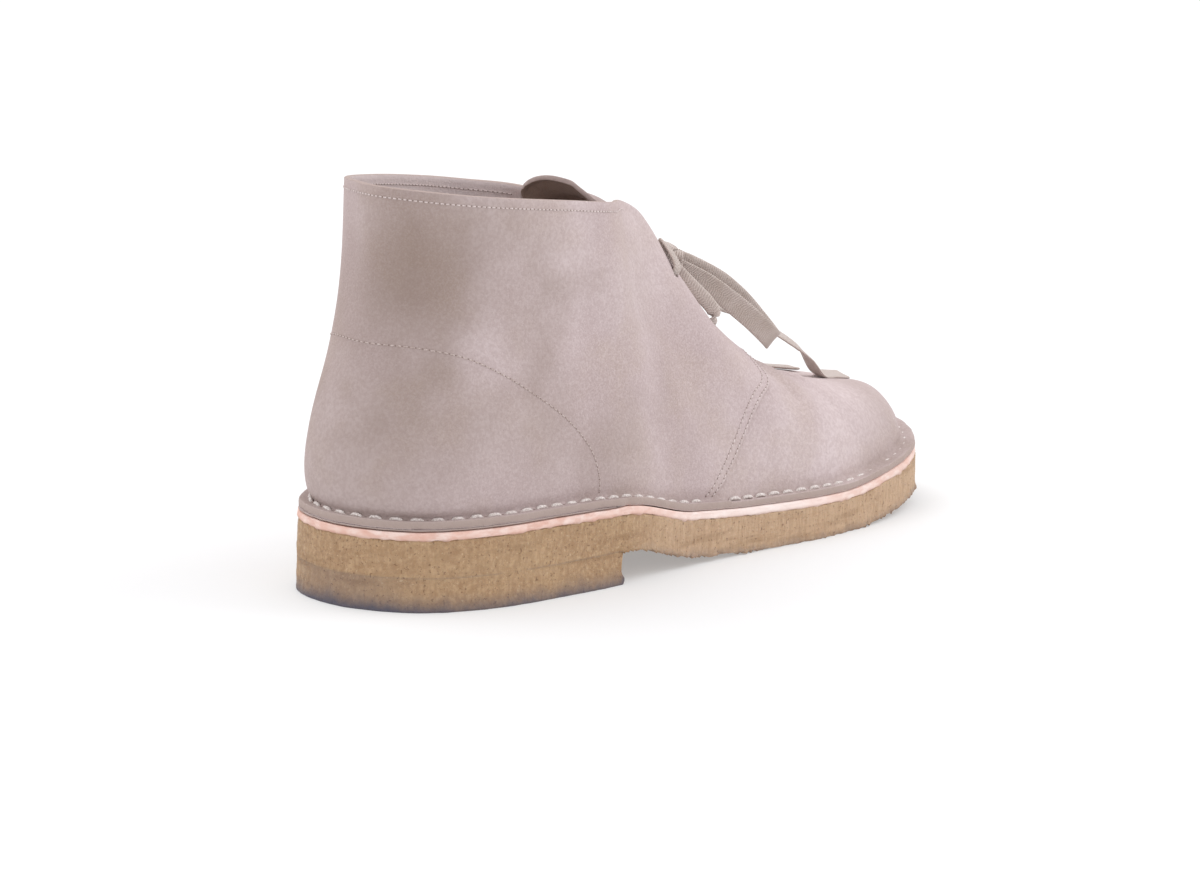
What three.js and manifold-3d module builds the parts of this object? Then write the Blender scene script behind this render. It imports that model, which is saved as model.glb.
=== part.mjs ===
// A desert boot (chukka) for the right foot, empty and laced, standing on its sole.
// Millimetres. Toe towards +X, medial side towards +Y, up is +Z, ground at z = 0.
// Inside this file x runs from the heel's back and y from the line under heel and toe;
// the finished group is moved so that its box is centred over the origin.
import * as THREE from 'three';
import { mergeVertices } from 'three/addons/utils/BufferGeometryUtils.js';
import Module from 'manifold-3d';

// ---- driving dimensions ----
const LENGTH = 296;          // sole, heel's back to toe's tip
const BALL_WIDTH = 98;       // sole, across the ball
const COLLAR_HEIGHT = 135.5; // top of the collar's back above the ground
const HEEL_LIFT = 11.2;      // height of the separate heel
const HEEL_BREAST = 92;      // front face of the heel, from the heel's back
const LEATHER = 2.6;         // midsole
const FLANGE = 2.2;          // suede turned outward and stitched down
const WALL = 2.0;            // upper
const TONGUE = 1.8;
const INSOLE = 2.2;
const GAP = 0.3;             // between pieces that touch
const FEATHER = 6;           // foot of the upper's wall, in from the sole's edge
const LACE = 3.2;            // flat lace as a round cord with the same section area
const KNOT = 11;             // the bow's knot, across
const EYELET = 4.5;          // punched hole

// ---- shape tables ----
// Sole outline: x in % of LENGTH, half widths in % of BALL_WIDTH.
const OUTLINE = [
  { x: 0, lateral: 0, medial: 0 },
  { x: 3, lateral: 25.5, medial: 25 },
  { x: 10.8, lateral: 39.3, medial: 37.8 },
  { x: 21.6, lateral: 44.9, medial: 39.3 },
  { x: 33.1, lateral: 47.4, medial: 36.7 },
  { x: 45.6, lateral: 45.9, medial: 36.2 },
  { x: 58.1, lateral: 47.4, medial: 42.9 },
  { x: 69.9, lateral: 50, medial: 50 },
  { x: 81.4, lateral: 47.4, medial: 50.5 },
  { x: 91.2, lateral: 37.8, medial: 40.8 },
  { x: 98, lateral: 18.4, medial: 22.4 },
  { x: 100, lateral: -1, medial: 1 },
];

// Sole in profile: x in % of LENGTH, underside and top of the crepe in mm.
const PROFILE = [
  { x: 0, under: HEEL_LIFT, top: 23.8 },
  { x: 17, under: HEEL_LIFT, top: 24 },
  { x: 31.5, under: HEEL_LIFT, top: 23.4 },
  { x: 45, under: 3.2, top: 15.6 },
  { x: 61, under: 0, top: 12.2 },
  { x: 72, under: 0, top: 11.5 },
  { x: 82, under: 2, top: 14 },
  { x: 91, under: 5, top: 16.8 },
  { x: 100, under: 10, top: 19.8 },
];

// Upper: a row for each section from the heel's back (s = 0) round one side to the toe (s = 1).
// The section starts at the feather line and ends at the collar, facing or vamp ridge, at x (% of
// LENGTH), y (% of BALL_WIDTH) and z (% of COLLAR_HEIGHT). aim is the way that it leaves there,
// in degrees from the toe's direction. low, mid and top push its three middle poles, in mm:
// outward and up, or outward and down at the top.
const UPPER = [
  { s: 0, x: 5.6, y: 0, z: 100, aim: 180, lowOut: 9, lowUp: 16, midOut: -3, midUp: 0, topOut: 1, topDown: 26 },
  { s: 0.08, x: 7.3, y: 15.3, z: 99.6, aim: 140, lowOut: 13, lowUp: 16, midOut: -6, midUp: 0, topOut: -1, topDown: 26 },
  { s: 0.2, x: 12.8, y: 30.1, z: 98.2, aim: 105, lowOut: 7, lowUp: 16, midOut: -4.5, midUp: 0, topOut: 1.5, topDown: 26 },
  { s: 0.32, x: 24.3, y: 35.7, z: 95.1, aim: 92, lowOut: 2, lowUp: 18, midOut: -1, midUp: 0, topOut: 2, topDown: 24 },
  { s: 0.42, x: 34, y: 32, z: 92, aim: 85, lowOut: 1, lowUp: 18, midOut: 3, midUp: 0, topOut: 3.5, topDown: 20 },
  { s: 0.47, x: 38.6, y: 20.5, z: 90, aim: 82, lowOut: 1, lowUp: 18, midOut: 4.5, midUp: 1, topOut: 4, topDown: 17 },
  { s: 0.51, x: 42.8, y: 18.6, z: 86.2, aim: 80, lowOut: 1, lowUp: 18, midOut: 6, midUp: 1.5, topOut: 5, topDown: 14 },
  { s: 0.56, x: 49.8, y: 17, z: 74, aim: 84, lowOut: 1, lowUp: 18, midOut: 7.5, midUp: 5, topOut: 8, topDown: 10 },
  { s: 0.6, x: 56, y: 15, z: 60.3, aim: 88, lowOut: 1, lowUp: 16, midOut: 9, midUp: 7, topOut: 11.5, topDown: 7 },
  { s: 0.64, x: 63, y: 12.3, z: 49.6, aim: 90, lowOut: 1, lowUp: 14, midOut: 10.5, midUp: 8.5, topOut: 14, topDown: 4.5 },
  { s: 0.67, x: 68.5, y: 9, z: 43.8, aim: 90, lowOut: 1, lowUp: 13, midOut: 11.5, midUp: 9.5, topOut: 18, topDown: 2.5 },
  { s: 0.7, x: 71.5, y: 0, z: 40.5, aim: 90, lowOut: 1, lowUp: 12, midOut: 13, midUp: 11, topOut: 24, topDown: 0 },
  { s: 0.78, x: 76, y: 0, z: 36.2, aim: 90, lowOut: 1, lowUp: 11.5, midOut: 12, midUp: 10, topOut: 24, topDown: 0 },
  { s: 0.88, x: 82.1, y: 0, z: 32.5, aim: 75, lowOut: 0, lowUp: 10.5, midOut: 10.5, midUp: 10, topOut: 20, topDown: 1.2 },
  { s: 1, x: 88.5, y: 0, z: 30.6, aim: 0, lowOut: 0, lowUp: 9, midOut: 7, midUp: 7, topOut: 15.5, topDown: 4 },
];
const THROAT_BASE = 0.7;     // s where the two facings meet; from here on the sides share a ridge
// s of every section that the solids are built on, so that stacked layers share their corners.
const STATIONS = [0, 0.03, 0.06, 0.09, 0.13, 0.17, 0.21, 0.25, 0.29, 0.33, 0.37, 0.4, 0.43, 0.46, 0.48,
  0.5, 0.52, 0.54, 0.56, 0.58, 0.6, 0.62, 0.64, 0.66, 0.68, 0.69, THROAT_BASE, 0.73, 0.76, 0.79, 0.82,
  0.85, 0.88, 0.91, 0.94, 0.97, 1];

const LATERAL = -1;
const MEDIAL = 1;
const SIDES = [LATERAL, MEDIAL];

// ---- curves ----
const v3 = (x, y, z) => new THREE.Vector3(x, y, z);
const rise = (points, i) => (points[i + 1].y - points[i].y) / (points[i + 1].x - points[i].x);

// Cubic through the table's rows. With `level`, level stretches stay exactly level. Without it, the
// rows are mirrored past both ends, so that the two sides meet smoothly: y changes sign there.
function blend(table, key, column, at, level = false) {
  const rows = table.map((row) => ({ x: row[key], y: row[column] }));
  const last = rows.length - 1;
  const slope = (i) => {
    const end = rise(rows, Math.min(i, last - 1));
    if (i === 0 || i === last) return level || column === 'y' ? end : 0;
    const before = rise(rows, i - 1);
    const after = rise(rows, i);
    if (level) return before * after <= 0 ? 0 : (2 * before * after) / (before + after);
    const near = rows[i].x - rows[i - 1].x;
    const far = rows[i + 1].x - rows[i].x;
    return (before * far + after * near) / (near + far);
  };
  let i = 0;
  while (i < last - 1 && at > rows[i + 1].x) i += 1;
  const width = rows[i + 1].x - rows[i].x;
  const f = Math.min(Math.max((at - rows[i].x) / width, 0), 1);
  const g = 1 - f;
  return g * g * (1 + 2 * f) * rows[i].y + f * g * g * width * slope(i)
    + f * f * (3 - 2 * f) * rows[i + 1].y - f * f * g * width * slope(i + 1);
}
const percent = (x) => (100 * x) / LENGTH;
const underside = (x) => blend(PROFILE, 'x', 'under', percent(x), true);
const crepeTop = (x) => blend(PROFILE, 'x', 'top', percent(x), true);

// The outline as one closed loop, heel to toe along the lateral side and back along the medial.
const corner = (row, side) => v3(
  (row.x * LENGTH) / 100,
  (side * (side < 0 ? row.lateral : row.medial) * BALL_WIDTH) / 100,
  0,
);
const LOOP = [
  ...OUTLINE.map((row) => corner(row, LATERAL)),
  ...OUTLINE.slice(1, -1).reverse().map((row) => corner(row, MEDIAL)),
];
function loopPoint(t) {
  const count = LOOP.length;
  const i = Math.floor(t);
  const f = t - i;
  const [a, b, c, d] = [-1, 0, 1, 2].map((step) => LOOP[(i + step + 2 * count) % count]);
  const axis = (k) => b[k] + 0.5 * f * (c[k] - a[k]
    + f * (2 * a[k] - 5 * b[k] + 4 * c[k] - d[k] + f * (3 * (b[k] - c[k]) + d[k] - a[k])));
  return v3(axis('x'), axis('y'), 0);
}
// Outline point of one side at s (0 heel's back, 1 toe's tip), moved in, and the way out of it.
function edge(side, s, inset = 0) {
  const steps = OUTLINE.length - 1;
  const t = side < 0 ? s * steps : LOOP.length - s * steps;
  const along = loopPoint(t + 0.001).sub(loopPoint(t - 0.001)).normalize();
  const out = v3(along.y, -along.x, 0);
  return { point: loopPoint(t).addScaledVector(out, -inset), out };
}

// ---- the upper's surface ----
const featherHeight = (x) => crepeTop(x) + LEATHER + GAP;
function poles(side, s) {
  const get = (column) => blend(UPPER, 's', column, s);
  const { point, out } = edge(side, s, FEATHER);
  const foot = point.setZ(featherHeight(point.x) + FLANGE);
  const top = v3(
    (get('x') * LENGTH) / 100,
    (side * Math.max(get('y'), 0) * BALL_WIDTH) / 100,
    (get('z') * COLLAR_HEIGHT) / 100,
  );
  const angle = THREE.MathUtils.degToRad(THREE.MathUtils.clamp(get('aim'), 0, 180));
  const away = v3(Math.cos(angle), side * Math.sin(angle), 0);
  const low = foot.clone().addScaledVector(out, get('lowOut')).add(v3(0, 0, get('lowUp')));
  const bulge = out.clone().add(away).normalize();
  const mid = foot.clone().lerp(top, 0.5).addScaledVector(bulge, get('midOut')).add(v3(0, 0, get('midUp')));
  const high = top.clone().addScaledVector(away, get('topOut')).sub(v3(0, 0, get('topDown')));
  return [foot, low, mid, high, top];
}
// Point of the upper's outside: v = 0 at the feather line, v = 1 at the collar, facing or ridge.
function surface(side, s, v) {
  const weights = [1, 4, 6, 4, 1].map((w, k) => w * v ** k * (1 - v) ** (4 - k));
  return poles(side, s).reduce((sum, pole, k) => sum.addScaledVector(pole, weights[k]), v3(0, 0, 0));
}
function outward(side, s, v) {
  const e = 0.004;
  const [s0, s1] = [Math.max(s - e, 0), Math.min(s + e, 1)];
  const [v0, v1] = [Math.max(v - e, 0), Math.min(v + e, 1)];
  const along = surface(side, s1, v).sub(surface(side, s0, v));
  const up = surface(side, s, v1).sub(surface(side, s, v0));
  return along.cross(up).multiplyScalar(-side).normalize();
}

// ---- solids ----
function geometry(points, triangles) {
  const made = new THREE.BufferGeometry();
  made.setAttribute('position', new THREE.Float32BufferAttribute(points.flatMap((p) => [p.x, p.y, p.z]), 3));
  made.setIndex(triangles.flat());
  return made;
}
// Keeps position only, joins equal corners and drops triangles that close up.
function welded(source) {
  const plain = source.clone();
  ['normal', 'uv'].forEach((name) => plain.deleteAttribute(name));
  const joined = mergeVertices(plain, 1e-3);
  const index = joined.getIndex().array;
  const kept = [];
  for (let i = 0; i < index.length; i += 3) {
    const [a, b, c] = [index[i], index[i + 1], index[i + 2]];
    if (a !== b && b !== c && c !== a) kept.push(a, b, c);
  }
  joined.setIndex(kept);
  return joined;
}
const quad = (a, b, c, d) => [[a, b, c], [a, c, d]];

// Vertex normals of an open sheet, so that a second sheet can lie at one distance from it.
function sheetNormals(points, triangles) {
  const sheet = welded(geometry(points, triangles));
  sheet.computeVertexNormals();
  const place = sheet.getAttribute('position');
  const normal = sheet.getAttribute('normal');
  const key = (x, y, z) => [x, y, z].map((n) => Math.round(n * 500)).join();
  const found = new Map();
  for (let i = 0; i < place.count; i += 1) {
    found.set(key(place.getX(i), place.getY(i), place.getZ(i)), v3().fromBufferAttribute(normal, i));
  }
  return points.map((p) => found.get(key(...[p.x, p.y, p.z].map(Math.fround))));
}

// A flat layer of the sole between two heights, with the outline moved in by `inset`.
function layer({ inset = 0, bottom, top, stations = STATIONS.map((s) => [s, s]) }) {
  const steps = stations.length - 1;
  const rows = stations.map((pair) => SIDES.map((side, k) => edge(side, pair[k], inset).point));
  const points = rows.flatMap(([a, b]) => [
    v3(a.x, a.y, bottom(a.x)), v3(b.x, b.y, bottom(b.x)),
    v3(a.x, a.y, top(a.x)), v3(b.x, b.y, top(b.x)),
  ]);
  const triangles = [];
  for (let i = 0; i < steps; i += 1) {
    const [la, ma, lat, mat, lb, mb, lbt, mbt] = [...Array(8).keys()].map((k) => 4 * i + k);
    triangles.push(
      ...quad(la, ma, mb, lb),
      ...quad(lat, lbt, mbt, mat),
      ...quad(la, lb, lbt, lat),
      ...quad(ma, mat, mbt, mb),
    );
  }
  const end = 4 * steps;
  triangles.push(...quad(end, end + 1, end + 3, end + 2));
  return welded(geometry(points, triangles));
}

// s of the outline where x is reached, by halving.
function reach(side, x) {
  let [low, high] = [0, 1];
  for (let i = 0; i < 40; i += 1) {
    const middle = (low + high) / 2;
    if (edge(side, middle).point.x < x) low = middle;
    else high = middle;
  }
  return low;
}

function heel() {
  const ends = SIDES.map((side) => reach(side, HEEL_BREAST));
  const before = STATIONS.filter((s) => s < Math.min(...ends) - 0.01).map((s) => [s, s]);
  return layer({ bottom: () => 0, top: () => HEEL_LIFT - GAP, stations: [...before, ends] });
}
const outsole = () => layer({ bottom: underside, top: crepeTop });
const midsole = () => layer({ inset: 0.4, bottom: (x) => crepeTop(x) + GAP, top: (x) => crepeTop(x) + LEATHER });
const insole = () => layer({
  inset: FEATHER + WALL + 0.6,
  bottom: featherHeight,
  top: (x) => featherHeight(x) + INSOLE,
});

// ---- upper: one hollow wall with its foot turned outward ----
const LEVELS = 13;
function ring() {
  const lateral = STATIONS.map((s) => [LATERAL, s]);
  const medial = STATIONS.slice(1, -1).reverse().map((s) => [MEDIAL, s]);
  return [...lateral, ...medial];
}
function upperShell() {
  const columns = ring();
  const count = columns.length;
  const at = (i, j) => (i % count) * (LEVELS + 1) + j;
  const outer = columns.flatMap(([side, s]) => [...Array(LEVELS + 1).keys()]
    .map((j) => surface(side, s, j / LEVELS)));
  const skin = [];
  for (let i = 0; i < count; i += 1) {
    for (let j = 0; j < LEVELS; j += 1) {
      skin.push(...quad(at(i, j), at(i + 1, j), at(i + 1, j + 1), at(i, j + 1)));
    }
  }
  const normals = sheetNormals(outer, skin);
  const inner = outer.map((p, k) => p.clone().addScaledVector(normals[k], -WALL));
  const flangeTop = columns.map(([side, s]) => {
    const { point } = edge(side, s, 1);
    return point.setZ(featherHeight(point.x) + FLANGE);
  });
  const flangeUnder = flangeTop.map((p) => v3(p.x, p.y, p.z - FLANGE));
  const wallUnder = columns.map(([side, s]) => {
    const { point } = edge(side, s, FEATHER + WALL);
    return point.setZ(featherHeight(point.x));
  });
  columns.forEach((_, i) => {
    const foot = inner[at(i, 0)];
    foot.setX(wallUnder[i].x);
    foot.setY(wallUnder[i].y);
    foot.setZ(wallUnder[i].z + FLANGE);
  });
  const points = [...outer, ...inner, ...flangeTop, ...flangeUnder, ...wallUnder];
  const shift = outer.length;
  const flange = 2 * shift;
  const triangles = [...skin, ...skin.map(([a, b, c]) => [a + shift, c + shift, b + shift])];
  for (let i = 0; i < count; i += 1) {
    const j = (i + 1) % count;
    const loopsAt = (k) => [
      at(k, 0), flange + k, flange + count + k, flange + 2 * count + k, shift + at(k, 0),
    ];
    const here = loopsAt(i);
    const next = loopsAt(j);
    for (let k = 0; k < 4; k += 1) triangles.push(...quad(here[k], here[k + 1], next[k + 1], next[k]));
    const open = Math.min(columns[i][1], columns[j][1]) < THROAT_BASE;
    if (open) {
      triangles.push(...quad(at(i, LEVELS), at(j, LEVELS), shift + at(j, LEVELS), shift + at(i, LEVELS)));
    }
  }
  return welded(geometry(points, triangles));
}

// ---- joins and cuts ----
const wasm = await Module();
wasm.setup();
function toManifold(source) {
  const plain = welded(source);
  return new wasm.Manifold(new wasm.Mesh({
    numProp: 3,
    vertProperties: new Float32Array(plain.getAttribute('position').array),
    triVerts: new Uint32Array(plain.getIndex().array),
  }));
}
function toGeometry(solid) {
  const mesh = solid.getMesh();
  const made = new THREE.BufferGeometry();
  made.setAttribute('position', new THREE.Float32BufferAttribute(mesh.vertProperties, 3));
  made.setIndex([...mesh.triVerts]);
  return made;
}

// ---- eyelets: two punched holes in each facing ----
const EYELETS = [
  { s: 0.548, v: 0.83 },     // top
  { s: 0.595, v: 0.8 },      // low
];
function punch(side, { s, v }) {
  const centre = surface(side, s, v);
  const tool = new THREE.CylinderGeometry(EYELET / 2, EYELET / 2, 5 * WALL, 12);
  const turn = new THREE.Quaternion().setFromUnitVectors(v3(0, 1, 0), outward(side, s, v));
  tool.applyQuaternion(turn);
  tool.translate(centre.x, centre.y, centre.z);
  return toManifold(tool);
}
function upper() {
  const holes = SIDES.flatMap((side) => EYELETS.map((eyelet) => punch(side, eyelet)));
  return toGeometry(holes.reduce((solid, hole) => solid.subtract(hole), toManifold(upperShell())));
}

// ---- tongue and laces follow an arch from facing to facing ----
// Arch at section s: down the inside of both quarters and across the throat, moved out by `lift`.
const WING = 0.3;            // how far down the quarters the arch reaches, in v
function arch(s, lift) {
  const flank = (side) => [...Array(9).keys()].map((k) => {
    const v = 1 - WING * (1 - k / 8);
    return surface(side, s, v).addScaledVector(outward(side, s, v), lift);
  });
  const [near, far] = [flank(LATERAL), flank(MEDIAL)];
  const [a, b] = [near.at(-1), far.at(-1)];
  const span = a.distanceTo(b);
  const leave = (points) => points.at(-1).clone().sub(points.at(-2)).normalize();
  const bridge = new THREE.CubicBezierCurve3(
    a,
    a.clone().addScaledVector(leave(near), span / 3),
    b.clone().addScaledVector(leave(far), span / 3),
    b,
  );
  const middle = span < 1 ? [] : bridge.getPoints(16).slice(1, -1);
  return new THREE.CatmullRomCurve3([...near, ...middle, ...far.reverse()], false, 'chordal');
}

// ---- tongue ----
const TONGUE_DEPTH = -(WALL + 0.6);
// Rows from the base, under the vamp, to the top: the section whose arch it follows, how much of
// the arch it spans, and how far it is moved back and up from there.
const TONGUE_ROWS = [
  { s: 0.715, span: 0.8, back: 0, up: 0 },
  { s: 0.69, span: 0.9, back: 0, up: 0 },
  { s: 0.67, span: 0.95, back: 0, up: 0 },
  { s: 0.645, span: 1, back: 0, up: 0 },
  { s: 0.62, span: 1, back: 0, up: 0 },
  { s: 0.595, span: 1, back: 0, up: 0 },
  { s: 0.57, span: 1, back: 0, up: 0 },
  { s: 0.545, span: 1, back: 0, up: 0 },
  { s: 0.525, span: 0.85, back: 0, up: 0 },
  { s: 0.51, span: 0.68, back: 0, up: 0 },
  { s: 0.5, span: 0.54, back: 1, up: 0 },
  { s: 0.5, span: 0.46, back: 5.5, up: 2 },
  { s: 0.5, span: 0.4, back: 10, up: 3.2 },
  { s: 0.5, span: 0.3, back: 14, up: 3.6 },
];
const TONGUE_COLUMNS = 14;
function tongue() {
  const rows = TONGUE_ROWS.map(({ s, span, back, up }) => {
    const curve = arch(s, TONGUE_DEPTH);
    return [...Array(TONGUE_COLUMNS + 1).keys()].map((k) => {
      const along = 0.5 + (k / TONGUE_COLUMNS - 0.5) * span;
      return curve.getPointAt(along).add(v3(-back, 0, up));
    });
  });
  const width = TONGUE_COLUMNS + 1;
  const outer = rows.flat();
  const skin = [];
  for (let i = 0; i < rows.length - 1; i += 1) {
    for (let j = 0; j < TONGUE_COLUMNS; j += 1) {
      const a = i * width + j;
      skin.push(...quad(a, a + 1, a + width + 1, a + width));
    }
  }
  const normals = sheetNormals(outer, skin);
  const shift = outer.length;
  const inner = outer.map((p, k) => p.clone().addScaledVector(normals[k], -TONGUE));
  const rim = [];
  for (let j = 0; j < TONGUE_COLUMNS; j += 1) rim.push(j);
  for (let i = 0; i < rows.length - 1; i += 1) rim.push(i * width + TONGUE_COLUMNS);
  for (let j = TONGUE_COLUMNS; j > 0; j -= 1) rim.push((rows.length - 1) * width + j);
  for (let i = rows.length - 1; i > 0; i -= 1) rim.push(i * width);
  const triangles = [...skin, ...skin.map(([a, b, c]) => [a + shift, c + shift, b + shift])];
  rim.forEach((a, k) => {
    const b = rim[(k + 1) % rim.length];
    triangles.push(...quad(a, a + shift, b + shift, b));
  });
  return welded(geometry([...outer, ...inner], triangles));
}

// ---- laces ----
// A round cord along a smooth route, closed at both ends.
function cord(route) {
  const path = new THREE.CatmullRomCurve3(route, false, 'centripetal');
  const section = new THREE.Shape().absarc(0, 0, LACE / 2, 0, 2 * Math.PI);
  const steps = Math.round(path.getLength() / (1.6 * LACE));
  return new THREE.ExtrudeGeometry(section, {
    steps, curveSegments: 4, bevelEnabled: false, extrudePath: path,
  });
}
const route = (...points) => points.map(([x, y, z]) => v3(x, y, z));

// The bow, tied just below the top eyelets. Every route starts at the knot.
const KNOT_CENTRE = v3(165, -5, 95);
const LOOPS = {
  lateral: route(
    [169.5, -8.6, 93.2], [177, -13, 88.5], [187, -17, 81.5], [197, -19, 74.5], [206, -19, 68],
    [210.5, -16, 65.5], [206, -13, 69.5], [196, -12, 77], [186, -11, 84.5], [177, -9, 91], [171.2, -7.2, 97.8],
  ),
  medial: route(
    [169.6, 0, 94.6], [176, 4.5, 88], [186, 10.5, 81], [196, 14.5, 74], [204, 16.5, 68.5],
    [208.5, 14.5, 66], [205, 11, 69.5], [196, 7.5, 77], [186, 4, 84.5], [177, 0, 91.5], [170, -1.4, 99.8],
  ),
};
const ENDS = {
  lateral: route(
    [169.3, -5.6, 90.4], [177, -5.5, 84.5], [190, -5, 77], [205, -4.5, 69.5], [220, -4, 63],
    [235, -4, 56.5], [248, -3.5, 50], [257, -3, 45.7], [264, -3, 43.3], [271, -3, 42.2], [278, -3, 40.8],
  ),
  medial: route(
    [166.2, -1.6, 89.3], [175, 1.5, 85], [187, 5, 76.5], [201, 8.5, 68], [215, 11.5, 60.5],
    [229, 13.5, 54], [240, 14.5, 49], [249, 14.5, 46.2], [257, 13.5, 44.7], [264, 11.5, 43.6],
  ),
};
function knot() {
  return new THREE.SphereGeometry(KNOT / 2, 12, 8).translate(...KNOT_CENTRE.toArray());
}
// Each strand runs from a low eyelet over the tongue to the other side's top eyelet, and a leg
// runs from each top eyelet to the knot. They are one joined solid.
function crossings() {
  const [top, low] = EYELETS;
  const lift = LACE / 2 + 0.8;
  const strand = (flip) => [0, 0.2, 0.4, 0.5, 0.6, 0.8, 1].map((t) => {
    const across = 0.12 + 0.76 * t;
    return arch(low.s + (top.s - low.s) * t, lift).getPointAt(flip ? 1 - across : across);
  });
  const leg = (side) => {
    const start = arch(top.s, lift).getPointAt(side < 0 ? 0.12 : 0.88);
    const edgeOver = arch(top.s + 0.006, lift + 1).getPointAt(side < 0 ? 0.26 : 0.74);
    const stop = KNOT_CENTRE.clone().add(edgeOver.clone().sub(KNOT_CENTRE).setLength(KNOT / 2 + GAP));
    return [start, edgeOver, edgeOver.clone().lerp(stop, 0.5), stop];
  };
  const parts = [strand(false), strand(true), leg(LATERAL), leg(MEDIAL)].map((points) => toManifold(cord(points)));
  return toGeometry(parts.reduce((solid, piece) => solid.add(piece)));
}

// ---- colours and assembly ----
const suede = new THREE.MeshStandardMaterial({ color: 0xc2b3ad, roughness: 0.95, metalness: 0 });
const crepe = new THREE.MeshStandardMaterial({ color: 0xb08e68, roughness: 0.8, metalness: 0 });
const leather = new THREE.MeshStandardMaterial({ color: 0xd3b09d, roughness: 0.7, metalness: 0 });
const board = new THREE.MeshStandardMaterial({ color: 0xb59a80, roughness: 0.85, metalness: 0 });

const cotton = new THREE.MeshStandardMaterial({ color: 0xc4b6a6, roughness: 0.9, metalness: 0 });

const boot = new THREE.Group();
function add(name, shape, material) {
  const mesh = new THREE.Mesh(shape, material);
  mesh.name = name;
  boot.add(mesh);
}
add('heel', heel(), crepe);
add('outsole', outsole(), crepe);
add('midsole', midsole(), leather);
add('insole', insole(), board);
add('upper', upper(), suede);
add('tongue', tongue(), suede);
add('lace_crossings', crossings(), cotton);
add('lace_knot', knot(), cotton);
['lateral', 'medial'].forEach((side) => {
  add(`lace_loop_${side}`, cord(LOOPS[side]), cotton);
  add(`lace_end_${side}`, cord(ENDS[side]), cotton);
});

const extent = new THREE.Box3().setFromObject(boot);
boot.position.set(-(extent.min.x + extent.max.x) / 2, -(extent.min.y + extent.max.y) / 2, 0);
export default boot;
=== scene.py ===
import math

import bmesh
import bpy
import numpy as np
from mathutils import Matrix, Vector


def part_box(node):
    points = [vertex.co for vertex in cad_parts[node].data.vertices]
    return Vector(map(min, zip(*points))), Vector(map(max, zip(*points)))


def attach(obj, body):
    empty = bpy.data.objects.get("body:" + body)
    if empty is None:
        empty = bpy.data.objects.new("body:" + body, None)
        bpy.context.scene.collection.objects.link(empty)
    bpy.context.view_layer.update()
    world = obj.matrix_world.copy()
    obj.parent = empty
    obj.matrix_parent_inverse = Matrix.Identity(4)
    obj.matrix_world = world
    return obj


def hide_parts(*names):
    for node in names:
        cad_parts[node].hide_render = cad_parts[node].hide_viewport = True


# A suede desert boot for the right foot, on a white studio floor.
# Shapes are worked out in millimetres in the shoe's own measure: x from the heel's back towards
# the toe, y towards the medial side from the line under heel and toe, z up from the ground.
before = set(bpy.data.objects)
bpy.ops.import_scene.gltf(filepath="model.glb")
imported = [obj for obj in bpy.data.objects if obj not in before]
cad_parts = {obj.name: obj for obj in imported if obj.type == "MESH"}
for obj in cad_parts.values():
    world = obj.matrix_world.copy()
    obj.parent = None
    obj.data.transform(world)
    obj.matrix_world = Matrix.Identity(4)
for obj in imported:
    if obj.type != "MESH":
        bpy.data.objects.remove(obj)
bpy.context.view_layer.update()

# ---- driving sizes ----
MM = 0.001
LENGTH = 296
BALL_WIDTH = 98
COLLAR_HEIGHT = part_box("upper")[1].z / MM
HEEL_LIFT = 11.2      # height of the separate heel
HEEL_BREAST = 92      # front face of the heel
LEATHER = 2.6         # midsole
FLANGE = 2.2          # suede turned outward and stitched down
GAP = 0.3             # between stacked pieces of the frame
FEATHER = 6           # foot of the upper's wall, in from the sole's edge
WALL = 2.0
LACE_WIDTH = 7.4
LACE_THICK = 1.1


def table(columns, *rows):
    return dict(zip(columns.split(), np.array(rows, float).T))


# Sole outline: x in % of LENGTH, half widths in % of BALL_WIDTH.
OUTLINE = table(
    "x lateral medial",
    (0, 0, 0),
    (3, 25.5, 25),
    (10.8, 39.3, 37.8),
    (21.6, 44.9, 39.3),
    (33.1, 47.4, 36.7),
    (45.6, 45.9, 36.2),
    (58.1, 47.4, 42.9),
    (69.9, 50, 50),
    (81.4, 47.4, 50.5),
    (91.2, 37.8, 40.8),
    (98, 18.4, 22.4),
    (100, -1, 1),
)
# Sole in profile: x in % of LENGTH, underside and top of the crepe in mm.
PROFILE = table(
    "x under top",
    (0, HEEL_LIFT, 23.8),
    (17, HEEL_LIFT, 24),
    (31.5, HEEL_LIFT, 23.4),
    (45, 3.2, 15.6),
    (61, 0, 12.2),
    (72, 0, 11.5),
    (82, 2, 14),
    (91, 5, 16.8),
    (100, 10, 19.8),
)
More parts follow.
